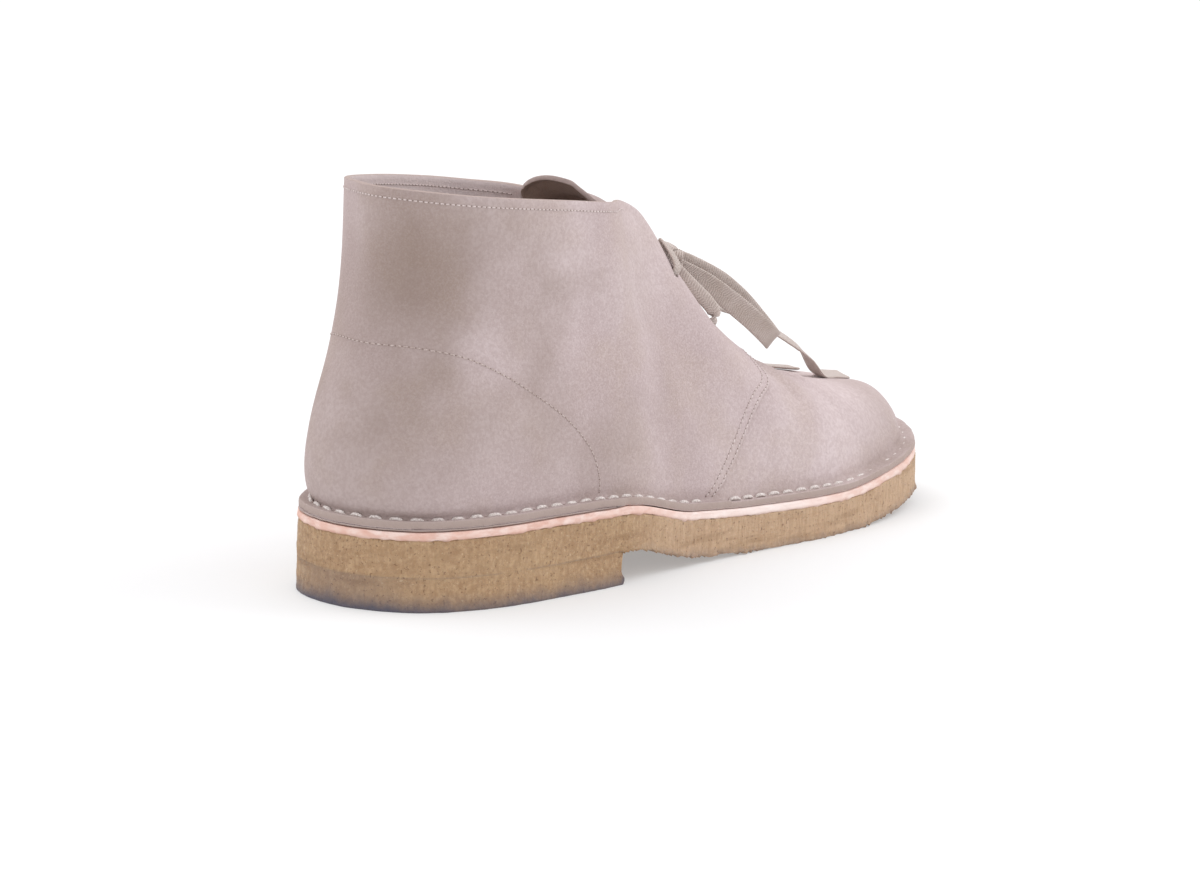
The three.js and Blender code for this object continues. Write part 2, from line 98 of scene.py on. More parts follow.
# Upper: a row for each section from the heel's back (s = 0) round one side to the toe (s = 1).
# x, y, z of its top edge are in % of LENGTH, BALL_WIDTH and COLLAR_HEIGHT, aim is the way that
# it leaves there in degrees, and the rest push its three middle poles, in mm.
UPPER = table(
    "s x y z aim low_out low_up mid_out mid_up top_out top_down",
    (0, 5.6, 0, 100, 180, 9, 16, -3, 0, 1, 26),
    (0.08, 7.3, 15.3, 99.6, 140, 13, 16, -6, 0, -1, 26),
    (0.2, 12.8, 30.1, 98.2, 105, 7, 16, -4.5, 0, 1.5, 26),
    (0.32, 24.3, 35.7, 95.1, 92, 2, 18, -1, 0, 2, 24),
    (0.42, 34, 32, 92, 85, 1, 18, 3, 0, 3.5, 20),
    (0.47, 39.7, 20.9, 90, 82, 1, 18, 4.5, 1, 4, 17),
    (0.51, 44.1, 18.6, 86.2, 80, 1, 18, 6, 1.5, 5, 14),
    (0.56, 50.1, 17, 74, 84, 1, 18, 7.5, 5, 8, 10),
    (0.6, 56, 15, 60.3, 88, 1, 16, 9, 7, 11.5, 7),
    (0.64, 63, 12.3, 49.6, 90, 1, 14, 10.5, 8.5, 14, 4.5),
    (0.67, 68.5, 9, 43.8, 90, 1, 13, 11.5, 9.5, 18, 2.5),
    (0.7, 71.5, 0, 40.5, 90, 1, 12, 13, 11, 24, 0),
    (0.78, 76, 0, 36.2, 90, 1, 11.5, 12, 10, 24, 0),
    (0.88, 82.1, 0, 32.5, 75, 0, 10.5, 10.5, 10, 20, 1.2),
    (1, 88.5, 0, 30.6, 0, 0, 9, 7, 7, 15.5, 4),
)
THROAT_BASE = 0.7
LATERAL, MEDIAL = -1, 1
SIDES = (LATERAL, MEDIAL)
EYELETS = {"top": (0.548, 0.83), "low": (0.595, 0.8)}   # s, v
EYELET = 4.5

# Inner row of the seam where the quarter lies on the vamp: s for each v.
SEAM = table(
    "v s",
    (0, 0.473),
    (0.037, 0.483),
    (0.117, 0.5),
    (0.212, 0.522),
    (0.308, 0.547),
    (0.421, 0.578),
    (0.533, 0.608),
    (0.6, 0.619),
    (0.68, 0.6245),
    (0.76, 0.631),
    (0.85, 0.641),
    (0.93, 0.651),
    (1, 0.657),
)
SEAM_ROWS = 3.6       # between the two rows
SEAM_EDGE = 4.9       # inner row to the quarter's cut edge
# The counter's single row of stitches: s and v, from the heel's back down to the welt.
COUNTER = ((0.0, 0.548), (0.082, 0.546), (0.153, 0.525), (0.207, 0.475), (0.248, 0.408),
           (0.29, 0.312), (0.318, 0.204), (0.328, 0.1), (0.329, 0.035))


# ---- curves and noise ----
def blend(rows, key, column, at, level=False):
    """Cubic through a table's rows. With `level`, level stretches stay exactly level. It starts and
    ends level too, apart from `level` tables and the column y, which keep the slope of their ends."""
    x, y = rows[key], rows[column]
    rise = np.diff(y) / np.diff(x)
    before, after = rise[:-1], rise[1:]
    near, far = np.diff(x)[:-1], np.diff(x)[1:]
    if level:
        total = np.where(before * after > 0, before + after, 1)
        inner = np.where(before * after > 0, 2 * before * after / total, 0)
    else:
        inner = (before * far + after * near) / (near + far)
    keep_end = 1 if level or column == "y" else 0
    slope = np.concatenate([[rise[0] * keep_end], inner, [rise[-1] * keep_end]])
    at = np.asarray(at, float)
    i = np.clip(np.searchsorted(x, at) - 1, 0, len(x) - 2)
    width = x[i + 1] - x[i]
    f = np.clip((at - x[i]) / width, 0, 1)
    g = 1 - f
    return (
        g * g * (1 + 2 * f) * y[i] + f * g * g * width * slope[i]
        + f * f * (3 - 2 * f) * y[i + 1] - f * f * g * width * slope[i + 1]
    )


def unit(vectors):
    return vectors / np.maximum(np.linalg.norm(vectors, axis=-1, keepdims=True), 1e-12)


def join_xyz(x, y, z):
    return np.stack(np.broadcast_arrays(x, y, z), axis=-1).astype(float)


def at_height(line, z):
    """Points of a line in the plane, at height z."""
    return join_xyz(line[..., 0], line[..., 1], z)


def rise(value, start, reach):
    """0 up to start, and from there evenly up to 1 over `reach`."""
    return np.clip((value - start) / reach, 0, 1)


def hill(value, width, centre=0.0):
    """1 at the centre and little beyond `width` from it."""
    return np.exp(-(((value - centre) / width) ** 2))


def between(t, low, high, a, b):
    """Straight line through a at low and b at high."""
    return (high - t) / (high - low) * a + (t - low) / (high - low) * b


def smooth_path(points, count):
    """Centripetal Catmull-Rom curve through the points, as `count` evenly spaced ones."""
    p = np.array(points, float)
    p = np.vstack([2 * p[0] - p[1], p, 2 * p[-1] - p[-2]])
    knots = np.concatenate([[0], np.cumsum(np.sqrt(np.linalg.norm(np.diff(p, axis=0), axis=1)))])
    made = []
    for i in range(1, len(p) - 2):
        t = np.linspace(knots[i], knots[i + 1], 24, endpoint=False)[:, None]
        k = knots[i - 1:i + 3]
        a = [between(t, k[j], k[j + 1], p[i - 1 + j], p[i + j]) for j in range(3)]
        b = [between(t, k[j], k[j + 2], a[j], a[j + 1]) for j in range(2)]
        made.append(between(t, k[1], k[2], b[0], b[1]))
    made.append(p[-2:-1])
    return even(np.vstack(made), count)


def lengths(points):
    """Distance along a line of points, up to each."""
    return np.concatenate([[0], np.cumsum(np.linalg.norm(np.diff(points, axis=0), axis=1))])


def sample(values, run, at):
    """A table's columns at the distances `at`, where `run` is the distance of each of its rows."""
    return np.stack([np.interp(at, run, values[:, k]) for k in range(values.shape[1])], axis=-1)


def even(points, count):
    """`count` points at even spacing along a line of points."""
    run = lengths(points)
    return sample(points, run, np.linspace(0, run[-1], count))


LATTICE = np.random.default_rng(11).uniform(-1, 1, (32, 32, 32))


def ripple(points, size):
    """Smooth noise from -1 to 1 with features of about `size` mm."""
    p = points / size + 7.3
    i = np.floor(p).astype(int)
    f = p - i
    f = f * f * (3 - 2 * f)
    total = 0
    for corner in np.ndindex(2, 2, 2):
        weight = np.prod(np.where(corner, f, 1 - f), axis=-1)
        cell = [(i[..., k] + corner[k]) % 32 for k in range(3)]
        total = total + weight * LATTICE[cell[0], cell[1], cell[2]]
    return total


# ---- the sole's outline and the upper's surface ----
# A place on the shoe is (u, v): u is s times the side, so -1 … 0 is the lateral side from toe to
# heel and 0 … 1 the medial side. v is 0 at the feather line and 1 at the collar, facing or ridge.
def percent(x):
    return 100 * x / LENGTH


def underside(x):
    return blend(PROFILE, "x", "under", percent(x), level=True)


def crepe_top(x):
    return blend(PROFILE, "x", "top", percent(x), level=True)


def feather_height(x):
    return crepe_top(x) + LEATHER + GAP


def outline_loop():
    x = OUTLINE["x"] * LENGTH / 100
    lateral = np.stack([x, -OUTLINE["lateral"] * BALL_WIDTH / 100], axis=1)
    medial = np.stack([x, OUTLINE["medial"] * BALL_WIDTH / 100], axis=1)
    return np.vstack([lateral, medial[-2:0:-1]])


LOOP = outline_loop()


def loop_point(t):
    """Point of the sole's outline; t counts the rows of the outline once round."""
    count = len(LOOP)
    i = np.floor(t).astype(int)
    f = (t - i)[..., None]
    a, b, c, d = (LOOP[(i + step) % count] for step in (-1, 0, 1, 2))
    return b + 0.5 * f * (c - a + f * (2 * a - 5 * b + 4 * c - d + f * (3 * (b - c) + d - a)))


def edge(u, inset=0.0):
    """Outline point at u moved in by `inset`, and the way out of it."""
    t = -np.asarray(u, float) * (len(OUTLINE["x"]) - 1)
    along = unit(loop_point(t + 0.001) - loop_point(t - 0.001))
    out = np.stack([along[..., 1], -along[..., 0]], axis=-1)
    return loop_point(t) - out * np.asarray(inset, float)[..., None], out


# The turn from the side to the facing: its s, its reach and how far the surface is averaged there,
# both in s, the share of v over which that grows below the top, and (shift, weight) of each sample.
CORNER_S, CORNER_REACH, CORNER_SPREAD, CORNER_TOP = 0.468, 0.05, 0.014, 0.12
CORNER_SAMPLES = ((-1, 0.25), (-0.5, 0.15), (0, 0.2), (0.5, 0.15), (1, 0.25))


def surface(u, v):
    """Upper's outer face, with the turn from the side to the facing made rounder."""
    u, v = np.asarray(u, float), np.asarray(v, float)
    below = 1 + 2 * np.clip((1 - v) / CORNER_TOP, 0, 1)
    spread = CORNER_SPREAD * below * hill(np.abs(u), CORNER_REACH, CORNER_S)
    return sum(bare_surface(u + shift * spread, v) * weight for shift, weight in CORNER_SAMPLES)


def bare_surface(u, v):
    """Upper's outer face straight from its table: a curve of five poles up from the feather line."""
    u, v = np.broadcast_arrays(np.asarray(u, float), np.asarray(v, float))
    s, side = np.abs(u), np.where(u < 0, -1.0, 1.0)
    row = {name: blend(UPPER, "s", name, s) for name in UPPER if name != "s"}
    point, out = edge(u, FEATHER)
    flat = np.zeros_like(s)
    foot = at_height(point, feather_height(point[..., 0]) + FLANGE)
    top = join_xyz(
        row["x"] * LENGTH / 100,
        side * np.maximum(row["y"], 0) * BALL_WIDTH / 100,
        row["z"] * COLLAR_HEIGHT / 100,
    )
    angle = np.radians(np.clip(row["aim"], 0, 180))
    away = join_xyz(np.cos(angle), side * np.sin(angle), flat)
    out = at_height(out, flat)
    up = np.array([0, 0, 1.0])
    low = foot + out * row["low_out"][..., None] + up * row["low_up"][..., None]
    middle = (foot + top) / 2 + unit(out + away) * row["mid_out"][..., None] + up * row["mid_up"][..., None]
    high = top + away * row["top_out"][..., None] - up * row["top_down"][..., None]
    w = v[..., None]
    g = 1 - w
    return (
        g ** 4 * foot + 4 * g ** 3 * w * low + 6 * g * g * w * w * middle
        + 4 * g * w ** 3 * high + w ** 4 * top
    )


def normal(u, v, step=0.004):
    """Way out of the upper's outer face."""
    u, v = np.broadcast_arrays(np.asarray(u, float), np.asarray(v, float))
    across = surface(np.minimum(u + step, 1), v) - surface(np.maximum(u - step, -1), v)
    up = surface(u, np.minimum(v + step, 1)) - surface(u, np.maximum(v - step, 0))
    return unit(np.cross(up, across))


def mm_per_s(s, v):
    """How many mm one unit of s is worth at (s, v)."""
    step = 0.002
    return np.linalg.norm(surface(-(s + step), v) - surface(-(s - step), v), axis=-1) / (2 * step)


# Shift from the shoe's own measure to the frame's, in mm.
RING = loop_point(np.linspace(0, len(LOOP), 1201))
SHIFT = np.array([*(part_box("outsole")[0].xy / MM), 0]) - np.array([*RING.min(axis=0), 0])


def placed(points):
    return (np.asarray(points, float) + SHIFT) * MM


def place(point):
    return Vector(placed(point))


# ---- camera: from the lateral side, behind the heel ----
AZIMUTH, ELEVATION, ROLL = (math.radians(a) for a in (-52.95, 10.55, 1.75))
DISTANCE = 2.8
LENS = 250.2
FOCUS = (148, 0, 65)          # mm
AIM_RIGHT, AIM_UP = -6.95, -28.67   # mm, from FOCUS in the picture's plane


def add_camera():
    back = Vector((
        math.sin(AZIMUTH) * math.cos(ELEVATION),
        -math.cos(AZIMUTH) * math.cos(ELEVATION),
        math.sin(ELEVATION),
    ))
    level = Vector((math.cos(AZIMUTH), math.sin(AZIMUTH), 0))
    upright = back.cross(level)
    right = level * math.cos(ROLL) + upright * math.sin(ROLL)
    up = upright * math.cos(ROLL) - level * math.sin(ROLL)
    camera = bpy.data.objects.new("camera", bpy.data.cameras.new("camera"))
    camera.data.lens = LENS
    camera.data.clip_end = 30
    eye = place(FOCUS) + back * DISTANCE
    aim = place(FOCUS) + (right * AIM_RIGHT + up * AIM_UP) * MM
    back = (eye - aim).normalized()
    right = up.cross(back).normalized()
    turn = Matrix((right, back.cross(right), back)).transposed().to_4x4()
    camera.matrix_world = Matrix.Translation(eye) @ turn
    bpy.context.scene.collection.objects.link(camera)
    bpy.context.scene.camera = camera


add_camera()


# ---- materials ----
def linear(code):
    """Blender's colour of a six-digit sRGB code."""
    parts = [int(code[i:i + 2], 16) / 255 for i in (0, 2, 4)]
    return (*[c / 12.92 if c <= 0.04045 else ((c + 0.055) / 1.055) ** 2.4 for c in parts], 1)


class Finish:
    """A material and short ways to add nodes to it."""

    def __init__(self, name, roughness, **sockets):
        self.material = bpy.data.materials.new(name)
        self.material.use_nodes = True
        self.tree = self.material.node_tree
        self.shader = self.tree.nodes["Principled BSDF"]
        self.place = self.node("TexCoord").outputs["Object"]
        self.shader.inputs["Roughness"].default_value = roughness
        for key, value in sockets.items():
            self.shader.inputs[key.replace("_", " ")].default_value = value

    def node(self, kind, **values):
        made = self.tree.nodes.new("ShaderNode" + kind)
        for key, value in values.items():
            setattr(made, key, value)
        return made

    def link(self, socket, value):
        if isinstance(value, bpy.types.NodeSocket):
            self.tree.links.new(value, socket)
        else:
            socket.default_value = value

    def noise(self, size, detail=3.0, rough=0.55, stretch=None):
        """Fractal noise from about 0.25 to 0.75, with features of `size` mm."""
        made = self.node("TexNoise")
        where = self.place
        if stretch:
            mapping = self.node("Mapping")
            mapping.inputs["Scale"].default_value = stretch
            self.link(mapping.inputs["Vector"], where)
            where = mapping.outputs["Vector"]
        self.link(made.inputs["Vector"], where)
        made.inputs["Scale"].default_value = 1 / (size * MM)
        made.inputs["Detail"].default_value = detail
        made.inputs["Roughness"].default_value = rough
        return made.outputs["Fac"]

    def ramp(self, value, low, high, most=1.0):
        """Smooth rise from 0 where value is low to `most` where it is high."""
        made = self.node("MapRange", interpolation_type="SMOOTHSTEP")
        for key, number in (("From Min", low), ("From Max", high), ("To Max", most)):
            made.inputs[key].default_value = number
        self.link(made.inputs["Value"], value)
        return made.outputs["Result"]

    def math(self, operation, a, b=0.5):
        made = self.node("Math", operation=operation)
        self.link(made.inputs[0], a)
        self.link(made.inputs[1], b)
        return made.outputs[0]

    def mix(self, share, a, b):
        made = self.node("Mix", data_type="RGBA")
        self.link(made.inputs[0], share)
        self.link(made.inputs[6], linear(a) if isinstance(a, str) else a)
        self.link(made.inputs[7], linear(b) if isinstance(b, str) else b)
        return made.outputs[2]

    def attribute(self, name):
        return self.node("Attribute", attribute_name=name).outputs["Fac"]

    def coats(self, base, *coats):
        """Colours laid over base, each as (noise, low, high, share at high, colour), or as
        (attribute's name, colour)."""
        for *value, colour in coats:
            share = self.attribute(*value) if len(value) == 1 else self.ramp(*value)
            base = self.mix(share, base, colour)
        return base

    def colour(self, value):
        self.link(self.shader.inputs["Base Color"], value)

    def bumps(self, *layers):
        """Each layer is (height, depth in mm)."""
        below = None
        for height, depth in layers:
            made = self.node("Bump")
            made.inputs["Strength"].default_value = 1
            made.inputs["Distance"].default_value = depth * MM
            self.link(made.inputs["Height"], height)
            if below:
                self.link(made.inputs["Normal"], below)
            below = made.outputs["Normal"]
        self.link(self.shader.inputs["Normal"], below)


def suede(name, dark, light, edge_colour):
    """Napped leather: soft blotches, brushed nap and fine pebble. The attribute `shade` darkens it, partly as
    the nap's tone and dust and partly as painted shade, `inside` lightens it with painted light and `rim`
    shows the cut."""
    made = Finish(name, 0.95, Sheen_Weight=0.2, Sheen_Roughness=0.5, Specular_IOR_Level=0.12)
    made.shader.inputs["Sheen Tint"].default_value = linear("e8dcd8")
    cloud = made.noise(52, 3, 0.5)
    brushed = made.noise(6.5, 4, 0.62)
    nap = made.noise(0.62, 3, 0.68)
    pebble = made.noise(1.3, 2, 0.5)
    warm = made.noise(30, 3, 0.55)
    base = made.mix(made.ramp(cloud, 0.28, 0.72), dark, light)
    base = made.coats(
        base,
        (warm, 0.44, 0.66, 0.45, "b3a093"),
        (brushed, 0.3, 0.7, 0.26, dark),
        (nap, 0.38, 0.62, 0.5, light),
        (pebble, 0.38, 0.62, 0.34, dark),
        # shade: the nap's tone and dust, and painted shade
        ("shade", "7f6b5c"),
    )
    # inside: painted light on the inner sheets
    base = made.mix(made.math("MULTIPLY", made.attribute("inside"), 0.65), base, "ddd0ce")
    base = made.mix(made.attribute("rim"), base, edge_colour)
    made.colour(base)
    made.bumps((brushed, 0.14), (pebble, 0.24), (nap, 0.22))
    return made.material


def crepe(name):
    """Crepe rubber: waxy tan with dark and pale specks. `pale` and `dirt` are attributes."""
    made = Finish(name, 0.62, Subsurface_Weight=0.12, Subsurface_Scale=0.004, Specular_IOR_Level=0.3)
    made.shader.inputs["Subsurface Radius"].default_value = (1.0, 0.55, 0.25)
    cloud = made.noise(22, 3)
    grain = made.noise(1.9, 5, 0.72)
    specks = made.noise(1.0, 2, 0.5)
    layers = made.noise(6, 3, 0.6, stretch=(0.16, 0.16, 1.4))
    brushed = made.noise(1.1, 3, 0.6, stretch=(1, 1, 0.14))
    base = made.mix(made.ramp(cloud, 0.35, 0.68), "94714c", "a58560")
    base = made.coats(
        base,
        (grain, 0.36, 0.66, 0.9, "b99a76"),
        ("pale", "cbad92"),
        (brushed, 0.42, 0.62, 0.3, "997a5c"),
        (layers, 0.5, 0.72, 0.4, "8a6a4a"),
        (specks, 0.62, 0.7, 0.6, "6b4d38"),
        (specks, 0.34, 0.26, 0.45, "d9c3a4"),
        ("dirt", "5c5862"),
    )
    made.colour(base)
    made.bumps((grain, 0.5), (brushed, 0.3), (specks, 0.25))
    return made.material


def veg_leather(name):
    """Natural leather's cut edge: pale pink flesh with fibres that run along it."""
    made = Finish(name, 0.75, Specular_IOR_Level=0.2)
    fibres = made.noise(2.8, 4, 0.6, stretch=(0.5, 0.5, 1.4))
    patches = made.noise(14, 2)
    fuzz = made.noise(0.8, 2)
    base = made.mix(made.ramp(fibres, 0.32, 0.68), "ddb5a7", "efd8cf")
    coats = (patches, 0.42, 0.64, 0.5, "dfae9c"), ("pale", "faf0ec"), ("dirt", "a87f68")
    made.colour(made.coats(base, *coats))
    made.bumps((fibres, 0.3), (fuzz, 0.18))
    return made.material


def insole_board(name):
    made = Finish(name, 0.85, Specular_IOR_Level=0.2)
    grain = made.noise(1.4, 5, 0.65)
    wear = made.noise(32, 3)
    base = made.mix(made.ramp(grain, 0.35, 0.7), "a98f78", "c2a98f")
    made.colour(made.coats(base, (wear, 0.48, 0.7, 0.35, "8f7763")))
    made.bumps((grain, 0.12))
    return made.material


RIB, WARP = 1.0, 0.8


def cotton(name):
    """Flat woven lace: chevron ribs from the attributes `across` and `along`, both in mm. The ribs
    are RIB apart and the warp WARP."""
    made = Finish(name, 0.9, Sheen_Weight=0.25, Sheen_Roughness=0.5, Specular_IOR_Level=0.12)
    across, along = made.attribute("across"), made.attribute("along")
    slant = made.math("MULTIPLY", made.math("ABSOLUTE", across), 0.9)
    rib = made.math("SINE", made.math("MULTIPLY", made.math("ADD", along, slant), 2 * math.pi / RIB))
    warp = made.math("SINE", made.math("MULTIPLY", across, 2 * math.pi / WARP))
    weave = made.math("MULTIPLY_ADD", made.math("MULTIPLY", rib, warp), 0.5)
    fuzz = made.noise(0.7, 3)
    soil = made.noise(9, 3)
    base = made.mix(made.ramp(weave, -0.4, 0.9), "a29188", "d2c4bd")
    made.colour(made.coats(base, (soil, 0.4, 0.7, 0.35, "ab9a8d")))
    made.bumps((weave, 0.22), (fuzz, 0.12))
    return made.material


def thread(name, dark, light):
    """Sewing thread, mottled as its twist turns it to the light."""
    made = Finish(name, 0.7, Specular_IOR_Level=0.25)
    twist = made.noise(0.55, 2)
    made.colour(made.mix(made.ramp(twist, 0.35, 0.65), dark, light))
    made.bumps((twist, 0.12))
    return made.material


# dark discs at the needle holes: painted shade in the holes
def needle_hole_shade(name):
    made = Finish(name, 1.0, Specular_IOR_Level=0.0)
    made.colour(made.mix(made.noise(0.6), "7b6a63", "9c8c85"))
    return made.material


SUEDE = suede("suede", "b09d9c", "d4c5c5", "a8968e")
# a darker copy of the suede: painted shade for the tongue down in the throat
SUEDE_PAINTED_SHADE = suede("suede_painted_shade", "978583", "b5a4a1", "a5948f")
CREPE = crepe("crepe")
MIDSOLE_LEATHER = veg_leather("midsole_leather")
BOARD = insole_board("insole_board")
COTTON = cotton("cotton")
WELT_THREAD = thread("welt_thread", "c4b8b3", "ebe4e0")
FINE_THREAD = thread("fine_thread", "baaaa6", "dcd0cd")
COUNTER_THREAD = thread("counter_thread", "a8968f", "cbbdb8")
HOLE_SHADE = needle_hole_shade("needle_hole_shade")


# ---- meshes ----
def grid_faces(n, m, closed=False):
    """Quads of an n × m grid; `closed` joins the last row to the first."""
    rows = np.arange(n if closed else n - 1)[:, None]
    cols = np.arange(m - 1)[None, :]
    after = (rows + 1) % n
    quads = [rows * m + cols, rows * m + cols + 1, after * m + cols + 1, after * m + cols]
    return np.stack(np.broadcast_arrays(*quads), axis=-1).reshape(-1, 4)


def tube_faces(rows, sides):
    """Quads round `rows` rings of `sides` points each."""
    wrap = np.arange(rows - 1)[:, None] * sides + (sides - 1, 0, sides, 2 * sides - 1)
    return np.vstack([grid_faces(rows, sides), wrap])


def closed_tubes(rings, kind=0, values=()):
    """Parts for tubes with flat ends. rings has an axis for the tubes, for the rings of one and for
    the points of a ring."""
    count, rows, sides = rings.shape[:3]
    points = rings.reshape(-1, 3)
    starts = (np.arange(count) * rows * sides)[:, None, None]
    ends = np.arange(sides) + np.array([[0], [(rows - 1) * sides]])
    walls = (tube_faces(rows, sides) + starts).reshape(-1, 4)
    lids = (ends + starts).reshape(-1, sides)
    return [(points, walls, kind, dict(values)), (points, lids, kind, dict(values))]


def add_piece(name, parts, materials, stands_for=None, smooth=75, weld=0.004):
    """One object from parts of (points in mm, faces, material index, {attribute: values})."""
    sizes = [len(part[0]) for part in parts]
    starts = np.cumsum([0] + sizes)
    faces = [face for start, part in zip(starts, parts) for face in (np.asarray(part[1]) + start).tolist()]
    kinds = np.concatenate([np.full(len(part[1]), part[2]) for part in parts]).astype(np.int32)
    mesh = bpy.data.meshes.new(name)
    mesh.from_pydata(placed(np.vstack([part[0] for part in parts])).tolist(), [], faces)
    mesh.polygons.foreach_set("material_index", kinds)
    for key in sorted({key for part in parts for key in part[3]}):
        values = [np.broadcast_to(part[3].get(key, 0.0), (size,)) for part, size in zip(parts, sizes)]
        store = mesh.attributes.new(key, "FLOAT", "POINT")
        store.data.foreach_set("value", np.concatenate(values).astype(np.float32))
    for material in materials:
        mesh.materials.append(material)
    shape = bmesh.new()
    shape.from_mesh(mesh)
    bmesh.ops.remove_doubles(shape, verts=shape.verts, dist=weld * MM)
    bmesh.ops.recalc_face_normals(shape, faces=shape.faces)
    shape.to_mesh(mesh)
    shape.free()
    mesh.shade_smooth()
    if smooth < 180:
        mesh.set_sharp_from_angle(angle=math.radians(smooth))
    piece = bpy.data.objects.new(name, mesh)
    bpy.context.scene.collection.objects.link(piece)
    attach(piece, "root")
    if stands_for:
        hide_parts(stands_for)
    return piece


def shell(outer, inner, bulge=0.35, border=None):
    """Sheet between two open grids with rounded cut edges: points, faces and the rim's share. The
    edge goes once round, or along the grid's places that `border` lists."""
    n, m = outer.shape[:2]
    count = n * m
    sheet = grid_faces(n, m)
    once_round = (
        [(i, 0) for i in range(n)] + [(n - 1, j) for j in range(1, m)]
        + [(i, m - 1) for i in range(n - 2, -1, -1)] + [(0, j) for j in range(m - 2, -1, -1)]
    )
    rows, cols = np.array(border or once_round).T
    above, below = outer[rows, cols], inner[rows, cols]
    outward = unit(above - outer[np.clip(rows, 1, n - 2), np.clip(cols, 1, m - 2)])
    rings = [
        (above + below) / 2 + (above - below) / 2 * np.cos(angle) + outward * bulge * np.sin(angle)
        for angle in np.radians((45, 90, 135))
    ]
    index = rows * m + cols
    size = len(rows)
    chain = [index] + [2 * count + size * k + np.arange(size) for k in range(3)] + [index + count]
    strips = [np.stack([a[:-1], b[:-1], b[1:], a[1:]], axis=1) for a, b in zip(chain, chain[1:])]
    points = np.vstack([outer.reshape(-1, 3), inner.reshape(-1, 3), *rings])
    rim = np.concatenate([np.zeros(2 * count), np.ones(3 * size)])
    return points, np.vstack([sheet, sheet[:, ::-1] + count, *strips]), rim


# ---- soft relief of the upper ----
# Troughs (depth over 0) and ridges (depth under 0): the plane of their line, the side that
# they lie on, or 0 for those over the vamp, the line, and their depth and half width in mm.
RELIEF = (
    ("xz", LATERAL, ((191, 63), (197, 57), (200, 53.5), (202.5, 48)), 1.1, 2.8),
    ("xz", MEDIAL, ((205, 60), (198, 55), (200, 47)), 0.7, 3.4),
    ("xz", LATERAL, ((58, 92), (88, 84), (120, 90)), 0.8, 10),
    ("xz", MEDIAL, ((60, 96), (92, 86), (122, 92)), 0.9, 10),
    ("xz", LATERAL, ((36, 72), (62, 66), (92, 70)), 0.5, 7),
    ("xz", LATERAL, ((128, 74), (140, 58), (150, 42)), 0.6, 8),
    ("xz", MEDIAL, ((126, 76), (138, 60), (146, 44)), 0.6, 8),
    ("xy", 0, ((214, -22), (219, 0), (215, 24)), 0.6, 3.5),
    ("xy", 0, ((226, -26), (230, 0), (226, 28)), 0.4, 4.0),
    ("xy", 0, ((220, -24), (224.5, 0), (220, 26)), -0.4, 2.6),
)


def line_distance(points, line):
    """Distance from each point to a line of points in the plane."""
    line = np.array(line, float)
    best = np.full(points.shape[:-1], 1e9)
    for a, b in zip(line, line[1:]):
        f = np.clip(((points - a) @ (b - a)) / ((b - a) @ (b - a)), 0, 1)
        best = np.minimum(best, np.linalg.norm(points - a - f[..., None] * (b - a), axis=-1))
    return best


VAMP_FACE = 38        # height above which a line at side 0 shows


def on_side(points, side, fade):
    """1 on one side of the shoe and 0 on the other, with `fade` mm between them."""
    return np.clip(0.5 + side * points[..., 1] / fade, 0, 1)


def relief(points):
    """How far the suede stands out of its smooth surface."""
    raised = 0.22 * ripple(points, 34) + 0.10 * ripple(points + 90, 13)
    for plane, side, line, depth, width in RELIEF:
        near = line_distance(points[..., [0, "xyz".index(plane[1])]], smooth_path(line, 16))
        where = on_side(points, side, 8) if side else rise(points[..., 2], VAMP_FACE, 6)
        raised = raised - depth * hill(near, width) * where
    return raised


# Patches of the nap, partly tone and handling marks of the suede and partly painted shade where the
# upper turns from the lamps: their side, x, z and radius in mm, and strength.
PATCHES = (
    (LATERAL, 18, 112, 32, 0.52),
    (LATERAL, 50, 88, 22, 0.12),
    (LATERAL, 24, 56, 24, 0.22),
    (LATERAL, 58, 48, 24, 0.25),
    (LATERAL, 112, 96, 22, 0.18),
    (LATERAL, 88, 44, 17, 0.30),
    (LATERAL, 134, 40, 12, 0.10),
    (LATERAL, 262, 34, 24, 0.30),
    (MEDIAL, 34, 96, 28, 0.26),
    (MEDIAL, 30, 48, 22, 0.30),
    (MEDIAL, 84, 56, 22, 0.22),
    (MEDIAL, 132, 50, 18, 0.12),
    (MEDIAL, 232, 36, 16, 0.10),
)
# painted shade at the heel's back
BEHIND, BEHIND_REACH = 0.36, 32       # darkening at the heel's back
# dust with painted shade in the crease above the welt
DUST_AND_SHADE, DUST_AND_SHADE_HEIGHT = 0.28, 2.6         # in the crease above the welt


def shade_of(points, outside=None):
    """Darkening of the suede: patches of tone and of painted shade, and painted shade at the heel's back,
    which hardly show beyond the first `outside` points; dust with painted shade in the crease above the welt."""
    shade = np.zeros(points.shape[:-1])
    for side, x, z, radius, strength in PATCHES:
        away = np.hypot(points[..., 0] - x, points[..., 2] - z)
        wobble = 1 + 0.45 * ripple(points, 22) + 0.15 * ripple(points, 8)
        patch = strength * hill(away * wobble, radius) * on_side(points, side, 24)
        shade = 1 - (1 - shade) * (1 - patch)
    # painted shade at the heel's back
    shade = shade + BEHIND * np.clip(1 - points[..., 0] / BEHIND_REACH, 0, 1)
    if outside:
        shade[outside:] *= 0.15
    # dust with painted shade in the crease above the welt
    above_welt = points[..., 2] - feather_height(points[..., 0]) - FLANGE
    crease = DUST_AND_SHADE * hill(above_welt, DUST_AND_SHADE_HEIGHT)
    return np.clip(shade + crease * (0.7 + 0.5 * ripple(points, 9)), 0, 1)


def inner_share(points, count):
    """1 on a shell's inner sheet and 0 elsewhere; each sheet has `count` points."""
    return (np.arange(len(points)) // count == 1).astype(float)


def suede_part(points, faces, rim, count):
    """A shell of the upper as a part; each of its sheets has `count` points."""
    # inside: painted light on the inner sheets
    values = {"shade": shade_of(points, count), "rim": rim * 0.85, "inside": inner_share(points, count)}
    return points, faces, 0, values


